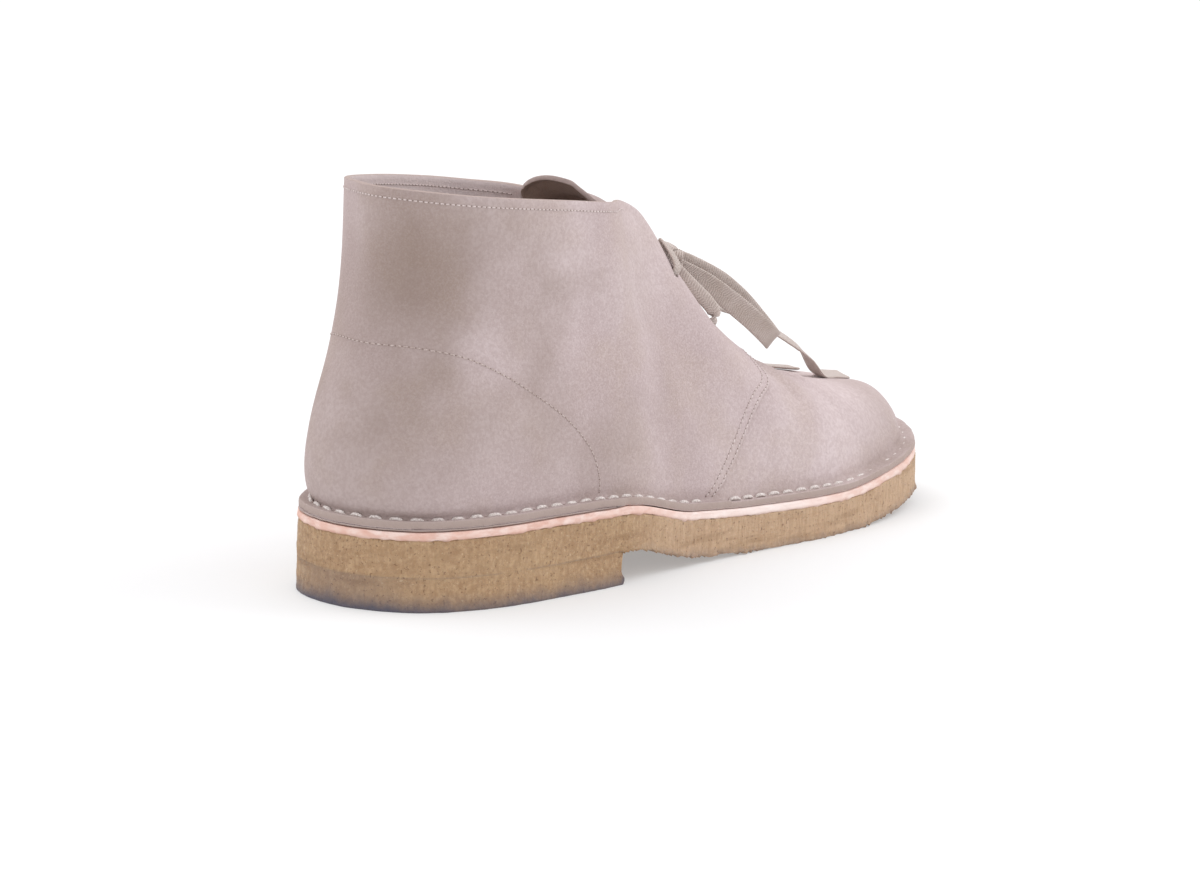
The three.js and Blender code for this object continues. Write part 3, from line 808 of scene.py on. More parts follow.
# ---- upper ----
DOUBLE = table("s lift", (0, 0.65), (0.24, 0.65), (0.31, 0.6), (0.36, 0), (1, 0))   # second layer at the heel
FLANGE_SHARES = (1, 0.8, 0.55, 0.32)
FLANGE_TURN = 0.4     # how far the flange's edge curls up
FILLET = (0.2, 0.4, 0.6, 0.8)
WALL_ROWS = 62
V_ROWS = np.linspace(0.05, 1, WALL_ROWS)      # from the fillet's top
QUARTER_LIFT, QUARTER_THICK, VAMP_THICK = 0.4, 1.9, 1.7
SKIVED, SKIVE_REACH = 1.1, 12                 # thickness at the quarter's cut edge, and how far in
VAMP_UNDERLAP = 9                             # behind the quarter's cut edge
VAMP_DROP, DROP_START, DROP_REACH = 1.0, 4, 22      # where the quarter's edge presses on the vamp
WING_ROWS, FRONT_ROWS, BRIDGE_ROWS = 40, 84, 17
BRIDGE_DOME = 0.13    # of the throat's width
# painted shadow on the vamp along the quarter's cut edge: its strength, and its reach in mm
SEAM_SHADOW, SEAM_SHADOW_REACH = 0.4, 1.1


def double_layer(u):
    return blend(DOUBLE, "s", "lift", np.abs(u), level=True)


def face_height(u):
    return FLANGE + double_layer(u)


def under_height(u):
    return 0.05 + double_layer(u) * 1.05


def rough_edge(u, inset, *waves):
    """The outline moved in by `inset` and by waves of (depth, size, level in the noise)."""
    smooth, _ = edge(u, inset)
    rough = sum(depth * ripple(at_height(smooth, level), size) for depth, size, level in waves)
    return edge(u, inset + rough)[0]


def above_foot(v):
    """0 at the foot of the upper's wall and 1 a little above it."""
    return np.clip(v * 8 - 0.3, 0, 1)


def skin(u, lift, height, foot_inset, bottom=False):
    """Grid from the flange's edge over its crease and up the wall. u and lift have a row for each
    section and a column for each of V_ROWS; height is the flange's face above the feather line."""
    rim = rough_edge(u[:, 0], 1.0, (0.28, 4, 0), (0.2, 1.7, 9))
    foot, _ = edge(u[:, 0], foot_inset)
    crease, _ = edge(u[:, 0], FEATHER)
    face = feather_height(crease[:, 0]) + height(u[:, 0]) + (0 if bottom else lift[:, 0] * 0.3)
    rows = []
    for share in FLANGE_SHARES:
        at = crease + (rim - crease) * share
        rows.append(at_height(at, face + (0 if bottom else FLANGE_TURN * share ** 3)))
    start = rows[-1]
    corner = at_height(foot, face)
    wall = surface(u, V_ROWS)
    wall = wall + normal(u, V_ROWS) * (lift + relief(wall) * above_foot(V_ROWS))[..., None]
    rows += [(1 - t) ** 2 * start + 2 * t * (1 - t) * corner + t * t * wall[:, 0] for t in FILLET]
    return np.concatenate([np.stack(rows, axis=1), wall], axis=1)


def seam_s(v, offset):
    """s of the line `offset` mm forward of the seam's inner row."""
    s = blend(SEAM, "v", "s", v, level=True)
    return s + offset / mm_per_s(s, v)


def mm_ahead(u):
    """How far places on V_ROWS lie forward of the quarter's cut edge."""
    s = np.abs(u)
    return (s - seam_s(V_ROWS, SEAM_EDGE)) * mm_per_s(np.minimum(s, 0.99), V_ROWS)


def quarters():
    """Both quarters as one sheet round the heel, skived towards their cut edges."""
    share = np.concatenate([np.linspace(0, 0.93, 128), np.linspace(0.93, 1, 23)[1:]])
    half = share[:, None] * seam_s(V_ROWS, SEAM_EDGE)
    u = np.vstack([-half[::-1], half[1:]])
    thick = SKIVED + (QUARTER_THICK - SKIVED) * np.clip(-mm_ahead(u) / SKIVE_REACH, 0, 1)
    outer = skin(u, np.full_like(u, QUARTER_LIFT), face_height, FEATHER)
    inner = skin(u, QUARTER_LIFT - thick, under_height, FEATHER + WALL, bottom=True)
    part = suede_part(*shell(outer, inner), outer.size // 3)
    punch(add_piece("quarters", [part], [SUEDE], "upper"))


def eyelet(name, side):
    """An eyelet's centre on the upper's outer face, and the way out of it."""
    s, v = EYELETS[name]
    return surface(side * s, v), normal(side * s, v)


def punch(piece):
    """Cuts the four eyelets."""
    tools = []
    for side in SIDES:
        for name in EYELETS:
            at, out = eyelet(name, side)
            bpy.ops.mesh.primitive_cylinder_add(vertices=28, radius=EYELET / 2 * MM, depth=9 * MM)
            tool = bpy.context.object
            turn = Vector(out).to_track_quat("Z", "Y").to_matrix().to_4x4()
            tool.matrix_world = Matrix.Translation(place(at)) @ turn
            tools.append(tool)
    for tool in tools:
        cut = piece.modifiers.new("eyelet", "BOOLEAN")
        cut.operation = "DIFFERENCE"
        cut.solver = "EXACT"
        cut.object = tool
    bpy.context.view_layer.update()
    graph = bpy.context.evaluated_depsgraph_get()
    mesh = bpy.data.meshes.new_from_object(piece.evaluated_get(graph))
    piece.modifiers.clear()
    piece.data = mesh
    for tool in tools:
        bpy.data.objects.remove(tool)


def vamp():
    """The vamp, whose wings run back under the quarters. Its ridge has no cut edge, because its two
    sides meet there."""
    start = seam_s(V_ROWS, SEAM_EDGE - VAMP_UNDERLAP)
    wings = start + (THROAT_BASE - start) * np.linspace(0, 1, WING_ROWS)[:, None]
    front = np.linspace(THROAT_BASE, 1, FRONT_ROWS)[1:, None] * np.ones((1, WALL_ROWS))
    half = np.vstack([wings, front])
    u = np.vstack([-half, half[-2::-1]])
    ahead = mm_ahead(u)
    lift = -VAMP_DROP * (1 - rise(ahead, DROP_START, DROP_REACH))
    outer = skin(u, lift, lambda w: face_height(w) - 0.15, FEATHER)
    inner = skin(u, lift - VAMP_THICK, under_height, FEATHER + WALL, bottom=True)
    joined = np.arange(WING_ROWS - 1, len(half))
    for sheet in (outer, inner):
        middle = (sheet[joined, -1] + sheet[-1 - joined, -1]) / 2
        sheet[joined, -1] = middle
        sheet[-1 - joined, -1] = middle
    n, m = outer.shape[:2]
    border = [(0, j) for j in range(m - 1, -1, -1)] + [(i, 0) for i in range(1, n)]
    border += [(n - 1, j) for j in range(1, m)]
    part = suede_part(*shell(outer, inner, border=border), n * m)
    # painted shadow of the quarter's cut edge on the vamp's outer sheet
    seam_shadow = np.zeros((n, m))
    seam_shadow[:, -WALL_ROWS:] = SEAM_SHADOW * hill(ahead, SEAM_SHADOW_REACH)
    shade = part[3]["shade"]
    shade[:n * m] = np.clip(shade[:n * m] + seam_shadow.ravel(), 0, 1)
    add_piece("vamp", [part, throat_bridge(outer, inner)], [SUEDE], "upper", weld=0.02)


def throat_bridge(outer, inner):
    """The vamp's leather across the throat, from its base back to a cut edge over the tongue."""
    share = np.linspace(0, 1, BRIDGE_ROWS)[None, :, None]
    sheets = []
    for sheet in (outer, inner):
        a, b = sheet[:WING_ROWS, -1], sheet[:-WING_ROWS - 1:-1, -1]
        made = a[:, None] * (1 - share) + b[:, None] * share
        width = np.linalg.norm(b - a, axis=1)[:, None]
        made[..., 2] += BRIDGE_DOME * width * np.sin(np.pi * share[..., 0])
        sheets.append(made)
    n, m = made.shape[:2]
    sheet = grid_faces(n, m)
    points = np.vstack(sheets).reshape(-1, 3)
    row = np.arange(m)
    rim = np.stack([row[:-1], row[:-1] + n * m, row[1:] + n * m, row[1:]], axis=1)
    faces = np.vstack([sheet, sheet[:, ::-1] + n * m, rim])
    return points, faces, 0, {"shade": shade_of(points)}


# ---- the arch from facing to facing, which tongue and laces follow ----
ARCH_FLANK = 0.3      # share of v that each flank takes


def arch(s, lift):
    """Line over the throat at s from one flank to the other, `lift` mm off the upper's face."""
    flank = np.linspace(1 - ARCH_FLANK, 1, 13)
    lateral, medial = (surface(side * s, flank) + normal(side * s, flank) * lift for side in SIDES)
    a, b = lateral[-1], medial[-1]
    span = np.linalg.norm(b - a)
    if span <= 1:
        return np.vstack([lateral, medial[::-1]])
    leave_a, leave_b = unit(a - lateral[-2]), unit(b - medial[-2])
    t = np.linspace(0, 1, 25)[1:-1, None]
    g = 1 - t
    bridge = (
        g ** 3 * a + 3 * g * g * t * (a + leave_a * span / 3)
        + 3 * g * t * t * (b + leave_b * span / 3) + t ** 3 * b
    )
    return np.vstack([lateral, bridge, medial[::-1]])


def arch_point(s, lift, share):
    """Point of the arch at a share of its length from the lateral end."""
    line = arch(s, lift)
    run = lengths(line)
    return sample(line, run, share * run[-1])


# Rows of the tongue: the section whose arch it follows, the share of the arch that it spans and how
# far that is off the arch's middle, how far it is moved back and up from there in mm, and how deep it
# lies below the upper's face.
TONGUE = table(
    "row s span drift back up depth",
    (0, 0.715, 0.7, 0, 0, 0, 3.4),
    (1, 0.69, 0.8, 0, 0, 0, 3.2),
    (2, 0.665, 0.92, 0, 0, 0, 3),
    (3, 0.64, 1, 0, 0, 0, 2.9),
    (4, 0.615, 1, 0, 0, 0, 3),
    (5, 0.59, 1, 0, 0, 0, 3.4),
    (6, 0.565, 1, 0, 0, 0, 3.5),
    (7, 0.54, 1, 0, 0, 0, 4.6),
    (8, 0.52, 0.76, 0.01, 0, 0, 5.8),
    (9, 0.505, 0.54, 0.04, 1, 0, 6.8),
    (10, 0.5, 0.42, 0.08, 6, 0, 6),
    (11, 0.5, 0.34, 0.095, 11, 1.3, 4),
    (12, 0.5, 0.28, 0.1, 14, 2.5, 2.6),
    (13, 0.5, 0.15, 0.09, 15.5, 3, 2.6),
)
TONGUE_THICK = 1.7
TONGUE_ROWS, TONGUE_COLUMNS = 92, 46


def tongue():
    """The tongue under the throat, which arches and leans back above it."""
    rows = np.linspace(0, TONGUE["row"][-1], TONGUE_ROWS)
    value = {key: blend(TONGUE, "row", key, rows, level=True) for key in TONGUE if key != "row"}
    outer = np.zeros((TONGUE_ROWS, TONGUE_COLUMNS, 3))
    across = np.linspace(-0.5, 0.5, TONGUE_COLUMNS)
    for k in range(TONGUE_ROWS):
        line = arch(value["s"][k], -value["depth"][k])
        run = lengths(line)
        outer[k] = sample(line, run, (0.5 + value["drift"][k] + across * value["span"][k]) * run[-1])
        outer[k] += (-value["back"][k], 0, value["up"][k])
    for _ in range(2):
        outer[1:-1, 1:-1] = (
            outer[1:-1, 1:-1] * 2 + outer[:-2, 1:-1] + outer[2:, 1:-1] + outer[1:-1, :-2] + outer[1:-1, 2:]
        ) / 6
    out = unit(np.cross(np.gradient(outer, axis=1), np.gradient(outer, axis=0)))
    out = out * np.sign(out[TONGUE_ROWS // 2, TONGUE_COLUMNS // 2, 2])
    wave = 0.5 * ripple(outer, 22) + 0.2 * ripple(outer, 9)
    outer = outer + out * wave[..., None]
    points, faces, rim = shell(outer, outer - out * TONGUE_THICK, bulge=0.4)
    # painted shade: a little over the whole tongue and deep on its underside
    values = {"shade": 0.06 + 0.72 * inner_share(points, TONGUE_ROWS * TONGUE_COLUMNS), "rim": rim * 0.5}
    add_piece("tongue_sheet", [(points, faces, 0, values)], [SUEDE_PAINTED_SHADE], "tongue")


# ---- sole ----
EDGE_ROWS = (0, 0.02, 0.06, 0.12, 0.2, 0.3, 0.4, 0.5, 0.6, 0.7, 0.8, 0.88, 0.94, 0.98, 1)
MIDSOLE_ROWS = (0, 0.1, 0.25, 0.45, 0.65, 0.8, 0.92, 1)
INSOLE_ROWS = (0, 0.3, 0.6, 0.8, 0.92, 1)
CREPE_INSET, MIDSOLE_INSET = 0.2, 0.35
CREPE_PALE = 0.22     # of the crepe at the heel
INSOLE_THICK = 2.2
DISH, DISH_X, DISH_LENGTH, DISH_WIDTH = 0.9, 40, 30, 22      # the heel's hollow in the insole
CREPE_THICK = 12      # about, in front of the heel
FRONT_FADE = 30       # ahead of the breast, where the outsole gets its pale look
TOE_START, TOE_REACH = 225, 50        # x from which the midsole is dirtier and paler
WAIST_X, WAIST_REACH = 165, 50        # where the midsole is palest
LAYER_GAP = 0.45      # below the heel's second layer of suede
LAYER_REACH = 0.345   # s where it ends
LIP_HEIGHT = 1.9      # of the worn lip on the heel's front face
HEEL_DIRT = 6.4       # height at which the street dirt ends


def ring_u(count):
    """u once round the sole, from the heel's back along the lateral side, evenly spaced."""
    fine = np.linspace(0, -2, 2001)
    run = lengths(edge(fine)[0])
    even_u = np.interp(np.linspace(0, run[-1], count, endpoint=False), run, fine)
    return np.where(even_u < -1, even_u + 2, even_u)


def side_wall(u, inset, shares, bottom, top, swell):
    """Rows of points round the sole, at shares of the height from bottom to top, which are functions
    of x. swell says how far a row's points are pushed out, from its share and the points."""
    point, out = edge(u, inset)
    low, high = bottom(point[:, 0]), top(point[:, 0])
    rows = []
    for share in shares:
        p = at_height(point, low * (1 - share) + high * share)
        p[:, :2] += out * swell(share, p)[:, None]
        rows.append(p)
    return np.stack(rows, axis=1)


def flat_cap(rim, count, height, grain):
    """Rows across between the ring's two halves. rim is a ring of points that starts at the heel."""
    half = len(rim) // 2
    lateral = rim[:half + 1]
    medial = np.vstack([rim[:1], rim[:half - 1:-1]])
    share = np.linspace(0, 1, count)[None, :, None]
    grid = lateral[:, None] * (1 - share) + medial[:, None] * share
    within = grid[1:-1, 1:-1]
    within[..., 2] = height(within[..., 0]) + grain(within)
    return grid.reshape(-1, 3), grid_faces(half + 1, count)


def plain(points):
    return 0 * points[..., 0]


def stacked_solid(wall, bottom, bottom_grain, top, columns=40):
    """Points and faces of a wall's rows and of the two caps that close it."""
    return (
        (wall.reshape(-1, 3), grid_faces(*wall.shape[:2], closed=True)),
        flat_cap(wall[:, 0], columns, bottom, bottom_grain),
        flat_cap(wall[:, -1], columns, top, plain),
    )


def crepe_swell(p):
    return 0.28 * ripple(p, 16) + 0.22 * ripple(p, 3.1) + 0.121 * ripple(p, 1.4) - 0.25


def rounded(height, radius):
    """How far a wall draws in at a height above, or depth below, its rounded edge."""
    short = np.maximum(radius - height, 0)
    return radius - np.sqrt(np.maximum(radius ** 2 - short ** 2, 0))


def tread(p):
    """Crinkled crepe underfoot."""
    folds = np.abs(ripple(p * (1, 1, 0), 3.4)) + 0.5 * np.abs(ripple(p * (1, 1, 0) + 40, 1.8))
    return 0.5 * (folds - 0.45)


def outsole():
    """The full-length layer of crepe, ragged at the ground in front of the heel."""
    u = ring_u(760)
    behind = edge(u)[0][:, 0] < HEEL_BREAST - 2

    def swell(share, p):
        tufts = 1.1 * np.abs(ripple(p, 1.3)) + 0.8 * np.abs(ripple(p + 50, 3.1))
        ragged = np.where(behind, 0, tufts * np.exp(-share * 11) - rounded(share * CREPE_THICK, 0.5))
        return crepe_swell(p) + ragged - rounded((1 - share) * CREPE_THICK, 0.35)

    wall = side_wall(u, CREPE_INSET, EDGE_ROWS, underside, crepe_top, swell)
    lowest = wall[:, 0]
    ragged = 0.9 * ripple(lowest, 1.3) + 0.6 * ripple(lowest, 3.6)
    wall[:, 0, 2] += np.where(behind, 0, np.maximum(ragged, -np.minimum(lowest[:, 2], 0.6)))
    parts = []
    for points, faces in stacked_solid(wall, underside, tread, crepe_top):
        x, z = points[:, 0], points[:, 2]
        close = np.clip(1 - (z - underside(x) - 0.8 * ripple(points, 3)) / 2.6, 0, 1)
        front = rise(x, HEEL_BREAST, FRONT_FADE)
        joint = 0.25 * hill(z, 0.35, HEEL_LIFT) * (ripple(points, 9) > -0.1)
        dirt = close * front * 0.4 + joint * (1 - front)
        parts.append((points, faces, 0, {"dirt": dirt, "pale": CREPE_PALE + 0.45 * front}))
    add_piece("crepe_outsole", parts, [CREPE], "outsole")


def heel_dirt(points):
    """Street dirt: full at the ground, ragged above, and worse at the back and on the lip."""
    x, z = points[:, 0], points[:, 2]
    height = z + 1.2 * ripple(points * (1, 1, 0.4), 6) + 0.6 * ripple(points, 2)
    low = 0.9 * np.clip(1 - height / HEEL_DIRT, 0, 1) ** 1.4
    back = 0.3 * hill(x, 7)
    lip = 0.6 * rise(x, HEEL_BREAST - 0.5, 1.5) * hill(z, 2, LIP_HEIGHT)
    return np.clip(np.clip(low + back, 0, 1) + lip, 0, 1)


def heel():
    """The separate heel, with its front face worn into a small lip at the ground."""
    ends = []
    for side in SIDES:
        low, high = 0.0, 1.0
        for _ in range(40):
            middle = (low + high) / 2
            low, high = (middle, high) if edge(side * middle)[0][0] < HEEL_BREAST else (low, middle)
        ends.append(side * low)
    top = HEEL_LIFT - 0.01

    def swell(share, p):
        return crepe_swell(p) - rounded(share * top, 0.5) + 0.25 * math.exp(-share * 9)

    sweep = np.linspace(*ends, 230)
    sides = side_wall(sweep, CREPE_INSET, EDGE_ROWS, lambda x: 0 * x, lambda x: top + 0 * x, swell)
    t = np.linspace(0, 1, 62)[1:-1, None]
    rows = []
    for k, share in enumerate(EDGE_ROWS):
        p = sides[:, k]
        breast = p[-1] * (1 - t) + p[0] * t
        lip = 2.2 * hill(share * top, 1.5, LIP_HEIGHT) - 0.9 * math.sin(math.pi * share)
        breast[:, 0] += lip * np.minimum(1, 6 * np.minimum(t, 1 - t))[:, 0] ** 0.35
        breast[:, 0] += 0.3 * ripple(breast, 3) + 0.2 * ripple(breast, 1.3)
        p[[0, -1], 0] += lip * 0.6
        rows.append(np.vstack([p, breast]))
    wall = np.stack(rows, axis=1)
    n, m = wall.shape[:2]
    solids = [(wall.reshape(-1, 3), grid_faces(n, m, closed=True))]
    for row, height, grain in ((0, 0.0, tread), (m - 1, top, plain)):
        rim = wall[:, row]
        centre = rim.mean(axis=0)
        grid = np.stack([centre + (rim - centre) * k for k in np.linspace(1, 0.02, 26)], axis=1)
        grid[:, 1:, 2] = height + np.maximum(grain(grid[:, 1:]), 0)
        solids.append((grid.reshape(-1, 3), grid_faces(n, 26, closed=True)))
        solids.append((grid[:, -1], [list(range(n))]))
    parts = [(p, faces, 0, {"dirt": heel_dirt(p), "pale": CREPE_PALE}) for p, faces in solids]
    add_piece("crepe_heel", parts, [CREPE], "heel")


def midsole():
    """The leather runner between crepe and flange, with a frayed lower edge."""
    def bottom(x):
        return crepe_top(x) - 0.1

    def top(x):
        return crepe_top(x) + LEATHER

    def swell(share, p):
        frayed = 0.8 * np.maximum(ripple(p, 2.2), 0) * np.exp(-share * 5)
        edges = rounded(np.minimum(share, 1 - share) * LEATHER, 0.35)
        return 0.3 * ripple(p, 11) + 0.15 * ripple(p, 1.8) + frayed - edges

    wall = side_wall(ring_u(640), MIDSOLE_INSET, MIDSOLE_ROWS, bottom, top, swell)
    wall[:, 0, 2] += 0.4 * ripple(wall[:, 0], 6) + 0.4 * ripple(wall[:, 0], 1.9)
    parts = []
    for points, faces in stacked_solid(wall, bottom, plain, top, columns=16):
        x, z = points[:, 0], points[:, 2]
        low = np.clip(1 - (z - bottom(x)) / 0.9, 0, 1)
        toe = rise(x, TOE_START, TOE_REACH)
        pale = 0.65 * hill(x, WAIST_REACH, WAIST_X) + 0.25 * toe
        parts.append((points, faces, 0, {"dirt": low * 0.5 + 0.1 * toe, "pale": pale}))
    add_piece("midsole_edge", parts, [MIDSOLE_LEATHER], "midsole")


def heel_layer():
    """Second layer of suede under the flange round the heel, skived away at the waist."""
    u = np.linspace(-LAYER_REACH, LAYER_REACH, 320)
    sheets = []
    for raised in (1, 0):
        rows = []
        for inset, rough in ((0.7, 0.3), (2, 0), (5, 0), (8, 0)):
            line = rough_edge(u, inset, (rough, 3.4, 30))
            above = double_layer(u) + 0.26 if raised else LAYER_GAP
            rows.append(at_height(line, feather_height(line[:, 0]) - GAP + above))
        sheets.append(np.stack(rows, axis=1))
    points, faces, rim = shell(*sheets, bulge=0.2)
    values = {"shade": 0.12 + 0.12 * ripple(points, 6), "rim": rim}
    add_piece("heel_layer", [(points, faces, 0, values)], [SUEDE], "upper")


def insole():
    """The board under the foot, dished at the heel."""
    def level(x):
        return feather_height(x) + INSOLE_THICK

    def swell(share, p):
        return plain(p) - rounded((1 - share) * INSOLE_THICK, 0.6)

    wall = side_wall(ring_u(300), FEATHER + WALL + 0.4, INSOLE_ROWS, feather_height, level, swell)
    *rest, (points, faces) = stacked_solid(wall, feather_height, plain, level)
    dish = np.minimum(np.linalg.norm((points[:, :2] - (DISH_X, 0)) / (DISH_LENGTH, DISH_WIDTH), axis=1), 1)
    points[:, 2] -= DISH * (1 - dish ** 2)
    points[:, 2] += 0.15 * ripple(points, 18)
    parts = [(*solid, 0, {}) for solid in (*rest, (points, faces))]
    add_piece("insole_board", parts, [BOARD], "insole")


# ---- stitches ----
# A stitch is a bead of rings: its share of the length, of the width, and how high it stands.
BEAD = ((-0.5, 0.25, -0.75), (-0.44, 0.62, -0.2), (-0.3, 0.92, 0.28), (-0.1, 1, 0.42), (0.1, 1, 0.42),
        (0.3, 0.92, 0.28), (0.44, 0.62, -0.2), (0.5, 0.25, -0.75))
BEAD_ANGLES = np.linspace(0, 2 * np.pi, 8, endpoint=False)
# Rows of stitches: their pitch, and a stitch's length, its width and the width of the painted shade at its
# needle hole.
COLLAR_ROW = (1.75, 1.35, 0.5, 0.5)
COUNTER_ROW = (2.2, 1.5, 0.5, 0.5)
SEAM_ROW = (2.0, 1.5, 0.5, 0.5)
WELT_ROW = (6.9, 5.1, 1.6, 0.9)
COLLAR_STITCH = 3.0   # below the collar's edge
COLLAR_END = 0.462    # s where the row turns down along the facing
WELT_INSET = 4.3
# the needle holes' dark discs are painted shade
WELT_HOLES_TO = 110   # x up to which the welt's needle holes show
WELT_SEAM = 0.487     # s where the seam crosses the welt, which has no stitch there
WELT_PAUSE = 5        # to each side of it
WELT_SINK_START, WELT_SINK_REACH = 200, 38      # x from which the row sinks into the nap


def circles(centres, one, two):
    """A ring of points round each centre, from its two half axes."""
    return np.stack([centres + one * math.cos(a) + two * math.sin(a) for a in BEAD_ANGLES], axis=1)


def stitch_row(points, out, sizes, slant=0.0, skip=(), sink=None, holes_to=LENGTH):
    """Beads, and dark discs of painted shade at the needle holes, along a line on a surface, as parts for
    add_piece. `skip` lists stretches of the line without stitches, and `sink` gives how far a stitch at a
    point is pulled into the surface, as a share of its width."""
    pitch, length, width, hole = sizes
    run = lengths(points)
    count = max(int(round(run[-1] / pitch)), 1)
    at = (np.arange(count) + 0.5) * run[-1] / count
    at = at[[not any(a <= x <= b for a, b in skip) for x in at]]

    def stance(where):
        """Points at distances along the line, the way up there and the way ahead."""
        ahead = sample(points, run, where + 0.4) - sample(points, run, where - 0.4)
        return sample(points, run, where), unit(sample(out, run, where)), unit(ahead)

    centre, up, ahead = stance(at)
    if sink:
        centre = centre - up * (sink(centre) * width)[:, None]
    ahead = unit(ahead + unit(np.cross(up, ahead)) * slant)
    across = unit(np.cross(up, ahead))
    long = length * (1 + 0.10 * ripple(centre * 31, 7))
    rings = [
        circles(
            centre + ahead * (share * long)[:, None] + up * high * width / 2,
            across * wide * width / 2,
            up * wide * width * 0.42,
        )
        for share, wide, high in BEAD
    ]
    half = run[-1] / count / 2
    gaps = np.unique(np.concatenate([at - half, at + half]).round(4))
    gaps = gaps[sample(points, run, gaps)[:, 0] < holes_to]
    spot, up, ahead = stance(gaps)
    # each needle hole is a dark disc just proud of the surface: painted shade
    disc = circles(spot + up * 0.07, ahead * hole / 2, unit(np.cross(up, ahead)) * hole / 2)
    holes = np.stack([disc, disc - up[:, None] * 0.5], axis=1)
    return closed_tubes(np.stack(rings, axis=1)) + closed_tubes(holes, 1)


def line_on_upper(s, v, side, lift):
    """Evenly spaced points and normals along (s, v), `lift` mm off the upper's outer face."""
    base, out = surface(side * s, v), normal(side * s, v)
    points = base + out * (lift + relief(base) * above_foot(v))[..., None]
    run = lengths(points)
    at = np.linspace(0, run[-1], int(run[-1] / 0.5))
    return sample(points, run, at), unit(sample(out, run, at))


def add_stitches(name, parts, colour):
    add_piece(name, parts, [colour, HOLE_SHADE], smooth=180, weld=0)


def collar_stitches():
    """A row below the collar's edge, seen outside and inside."""
    s = np.linspace(0, COLLAR_END, 240)
    drop = np.linalg.norm(surface(-s, 1) - surface(-s, 0.98), axis=-1) / 0.02
    parts = []
    for side in SIDES:
        for lift, way in ((QUARTER_LIFT, 1), (QUARTER_LIFT - QUARTER_THICK, -1)):
            points, out = line_on_upper(s, 1 - COLLAR_STITCH / drop, side, lift)
            parts += stitch_row(points, out * way, COLLAR_ROW)
    add_stitches("collar_stitches", parts, FINE_THREAD)


def counter_stitches():
    parts = []
    s, v, _ = smooth_path([(s, v, 0) for s, v in COUNTER], 200).T
    for side in SIDES:
        parts += stitch_row(*line_on_upper(s, v, side, QUARTER_LIFT), COUNTER_ROW)
    add_stitches("counter_stitches", parts, COUNTER_THREAD)


def seam_stitches():
    """The double row where the quarters lie on the vamp."""
    parts = []
    v = np.linspace(0.02, 0.985, 240)
    for side in SIDES:
        for offset in (0, SEAM_ROWS):
            parts += stitch_row(*line_on_upper(seam_s(v, offset), v, side, QUARTER_LIFT), SEAM_ROW)
    add_stitches("seam_stitches", parts, FINE_THREAD)


def welt_stitches():
    """The coarse row on the flange, which sinks into the nap towards the toe."""
    u = np.concatenate([np.linspace(0, -1, 500), np.linspace(1, 0, 500)[1:]])
    line, _ = edge(u, WELT_INSET)
    crease, _ = edge(u, FEATHER)
    z = feather_height(crease[:, 0]) + face_height(u) + QUARTER_LIFT * 0.3
    points = at_height(line, z)
    out = np.tile((0, 0, 1.0), (len(points), 1))
    seam = [lengths(points)[np.argmin(np.abs(u - side * WELT_SEAM))] for side in SIDES]
    skip = [(a - WELT_PAUSE, a + WELT_PAUSE) for a in seam]

    def sink(p):
        return 0.02 + 0.1 * ripple(p, 12) + 0.74 * rise(p[:, 0], WELT_SINK_START, WELT_SINK_REACH)

    parts = stitch_row(points, out, WELT_ROW, -0.10, skip, sink, WELT_HOLES_TO)
    add_stitches("welt_stitches", parts, WELT_THREAD)


# ---- laces ----
RIBBON_SIDES = 16
RIBBON_STEP = 0.7     # between its rings


def rounded_box(angle):
    """Outline between an ellipse's and a rectangle's, with half axes of 1."""
    x, y = np.cos(angle), np.sin(angle)
    return np.sign(x) * np.abs(x) ** 0.7, np.sign(y) * np.abs(y) ** 0.6


def ribbon(route, across, width=LACE_WIDTH, thick=LACE_THICK):
    """Flat lace along a route, as parts, and its centreline. `across` gives its width's direction and
    `width` its width in mm, each as one value or one for each route point."""
    route = np.array(route, float)
    count = max(int(lengths(route)[-1] / RIBBON_STEP), 12)
    line = smooth_path(route, count)
    run = lengths(line)
    share = np.linspace(0, 1, count)
    nearest = [run[np.argmin(np.linalg.norm(line - p, axis=1))] for p in route]
    marks = np.maximum.accumulate(nearest) / run[-1]
    side = sample(np.broadcast_to(np.array(across, float), (len(route), 3)), marks, share)
    widths = np.interp(share, marks, np.broadcast_to(np.array(width, float), (len(route),)))[:, None]
    ahead = unit(np.gradient(line, axis=0))
    side = unit(side - ahead * (side * ahead).sum(axis=1, keepdims=True))
    up = np.cross(ahead, side)
    x, y = rounded_box(np.linspace(0, 2 * np.pi, RIBBON_SIDES, endpoint=False))
    high = y * thick / 2 + 0.05 * widths * (x ** 2 - 0.4)
    x = x * widths / 2
    points = line[:, None] + x[..., None] * side[:, None] + high[..., None] * up[:, None]
    points = points + 0.06 * ripple(points, 1.6)[..., None]
    values = {"across": x.ravel(), "along": np.repeat(run, RIBBON_SIDES)}
    return closed_tubes(points[None], 0, values), line


KNOT_CENTRE = np.array([165, -5, 95.0])
LOOPS = {
    "lateral": (
        (168, -7.6, 93), (177, -13, 86.8), (187, -17, 78.8), (197, -19.5, 71.2), (206, -19.5, 64.8),
        (211.5, -16.5, 62.8), (208.5, -13, 68.5), (198, -12, 77.8), (187, -10.8, 85.4), (177, -8.6, 91.4),
        (168.4, -6.4, 96),
    ),
    "medial": (
        (168, -2, 93.5), (176, 4.5, 87), (186, 10.5, 79.5), (196, 14.5, 72), (204, 16.5, 66.5),
        (208.5, 14.5, 64.5), (205, 11, 68.5), (196, 7.5, 76), (186, 4, 83.5), (177, 0, 90.6),
        (168.4, -3, 96.4),
    ),
}
LOOP_TILT = {"lateral": (0.34, -0.52, 0.78), "medial": (0.3, 0.5, 0.81)}     # width's way
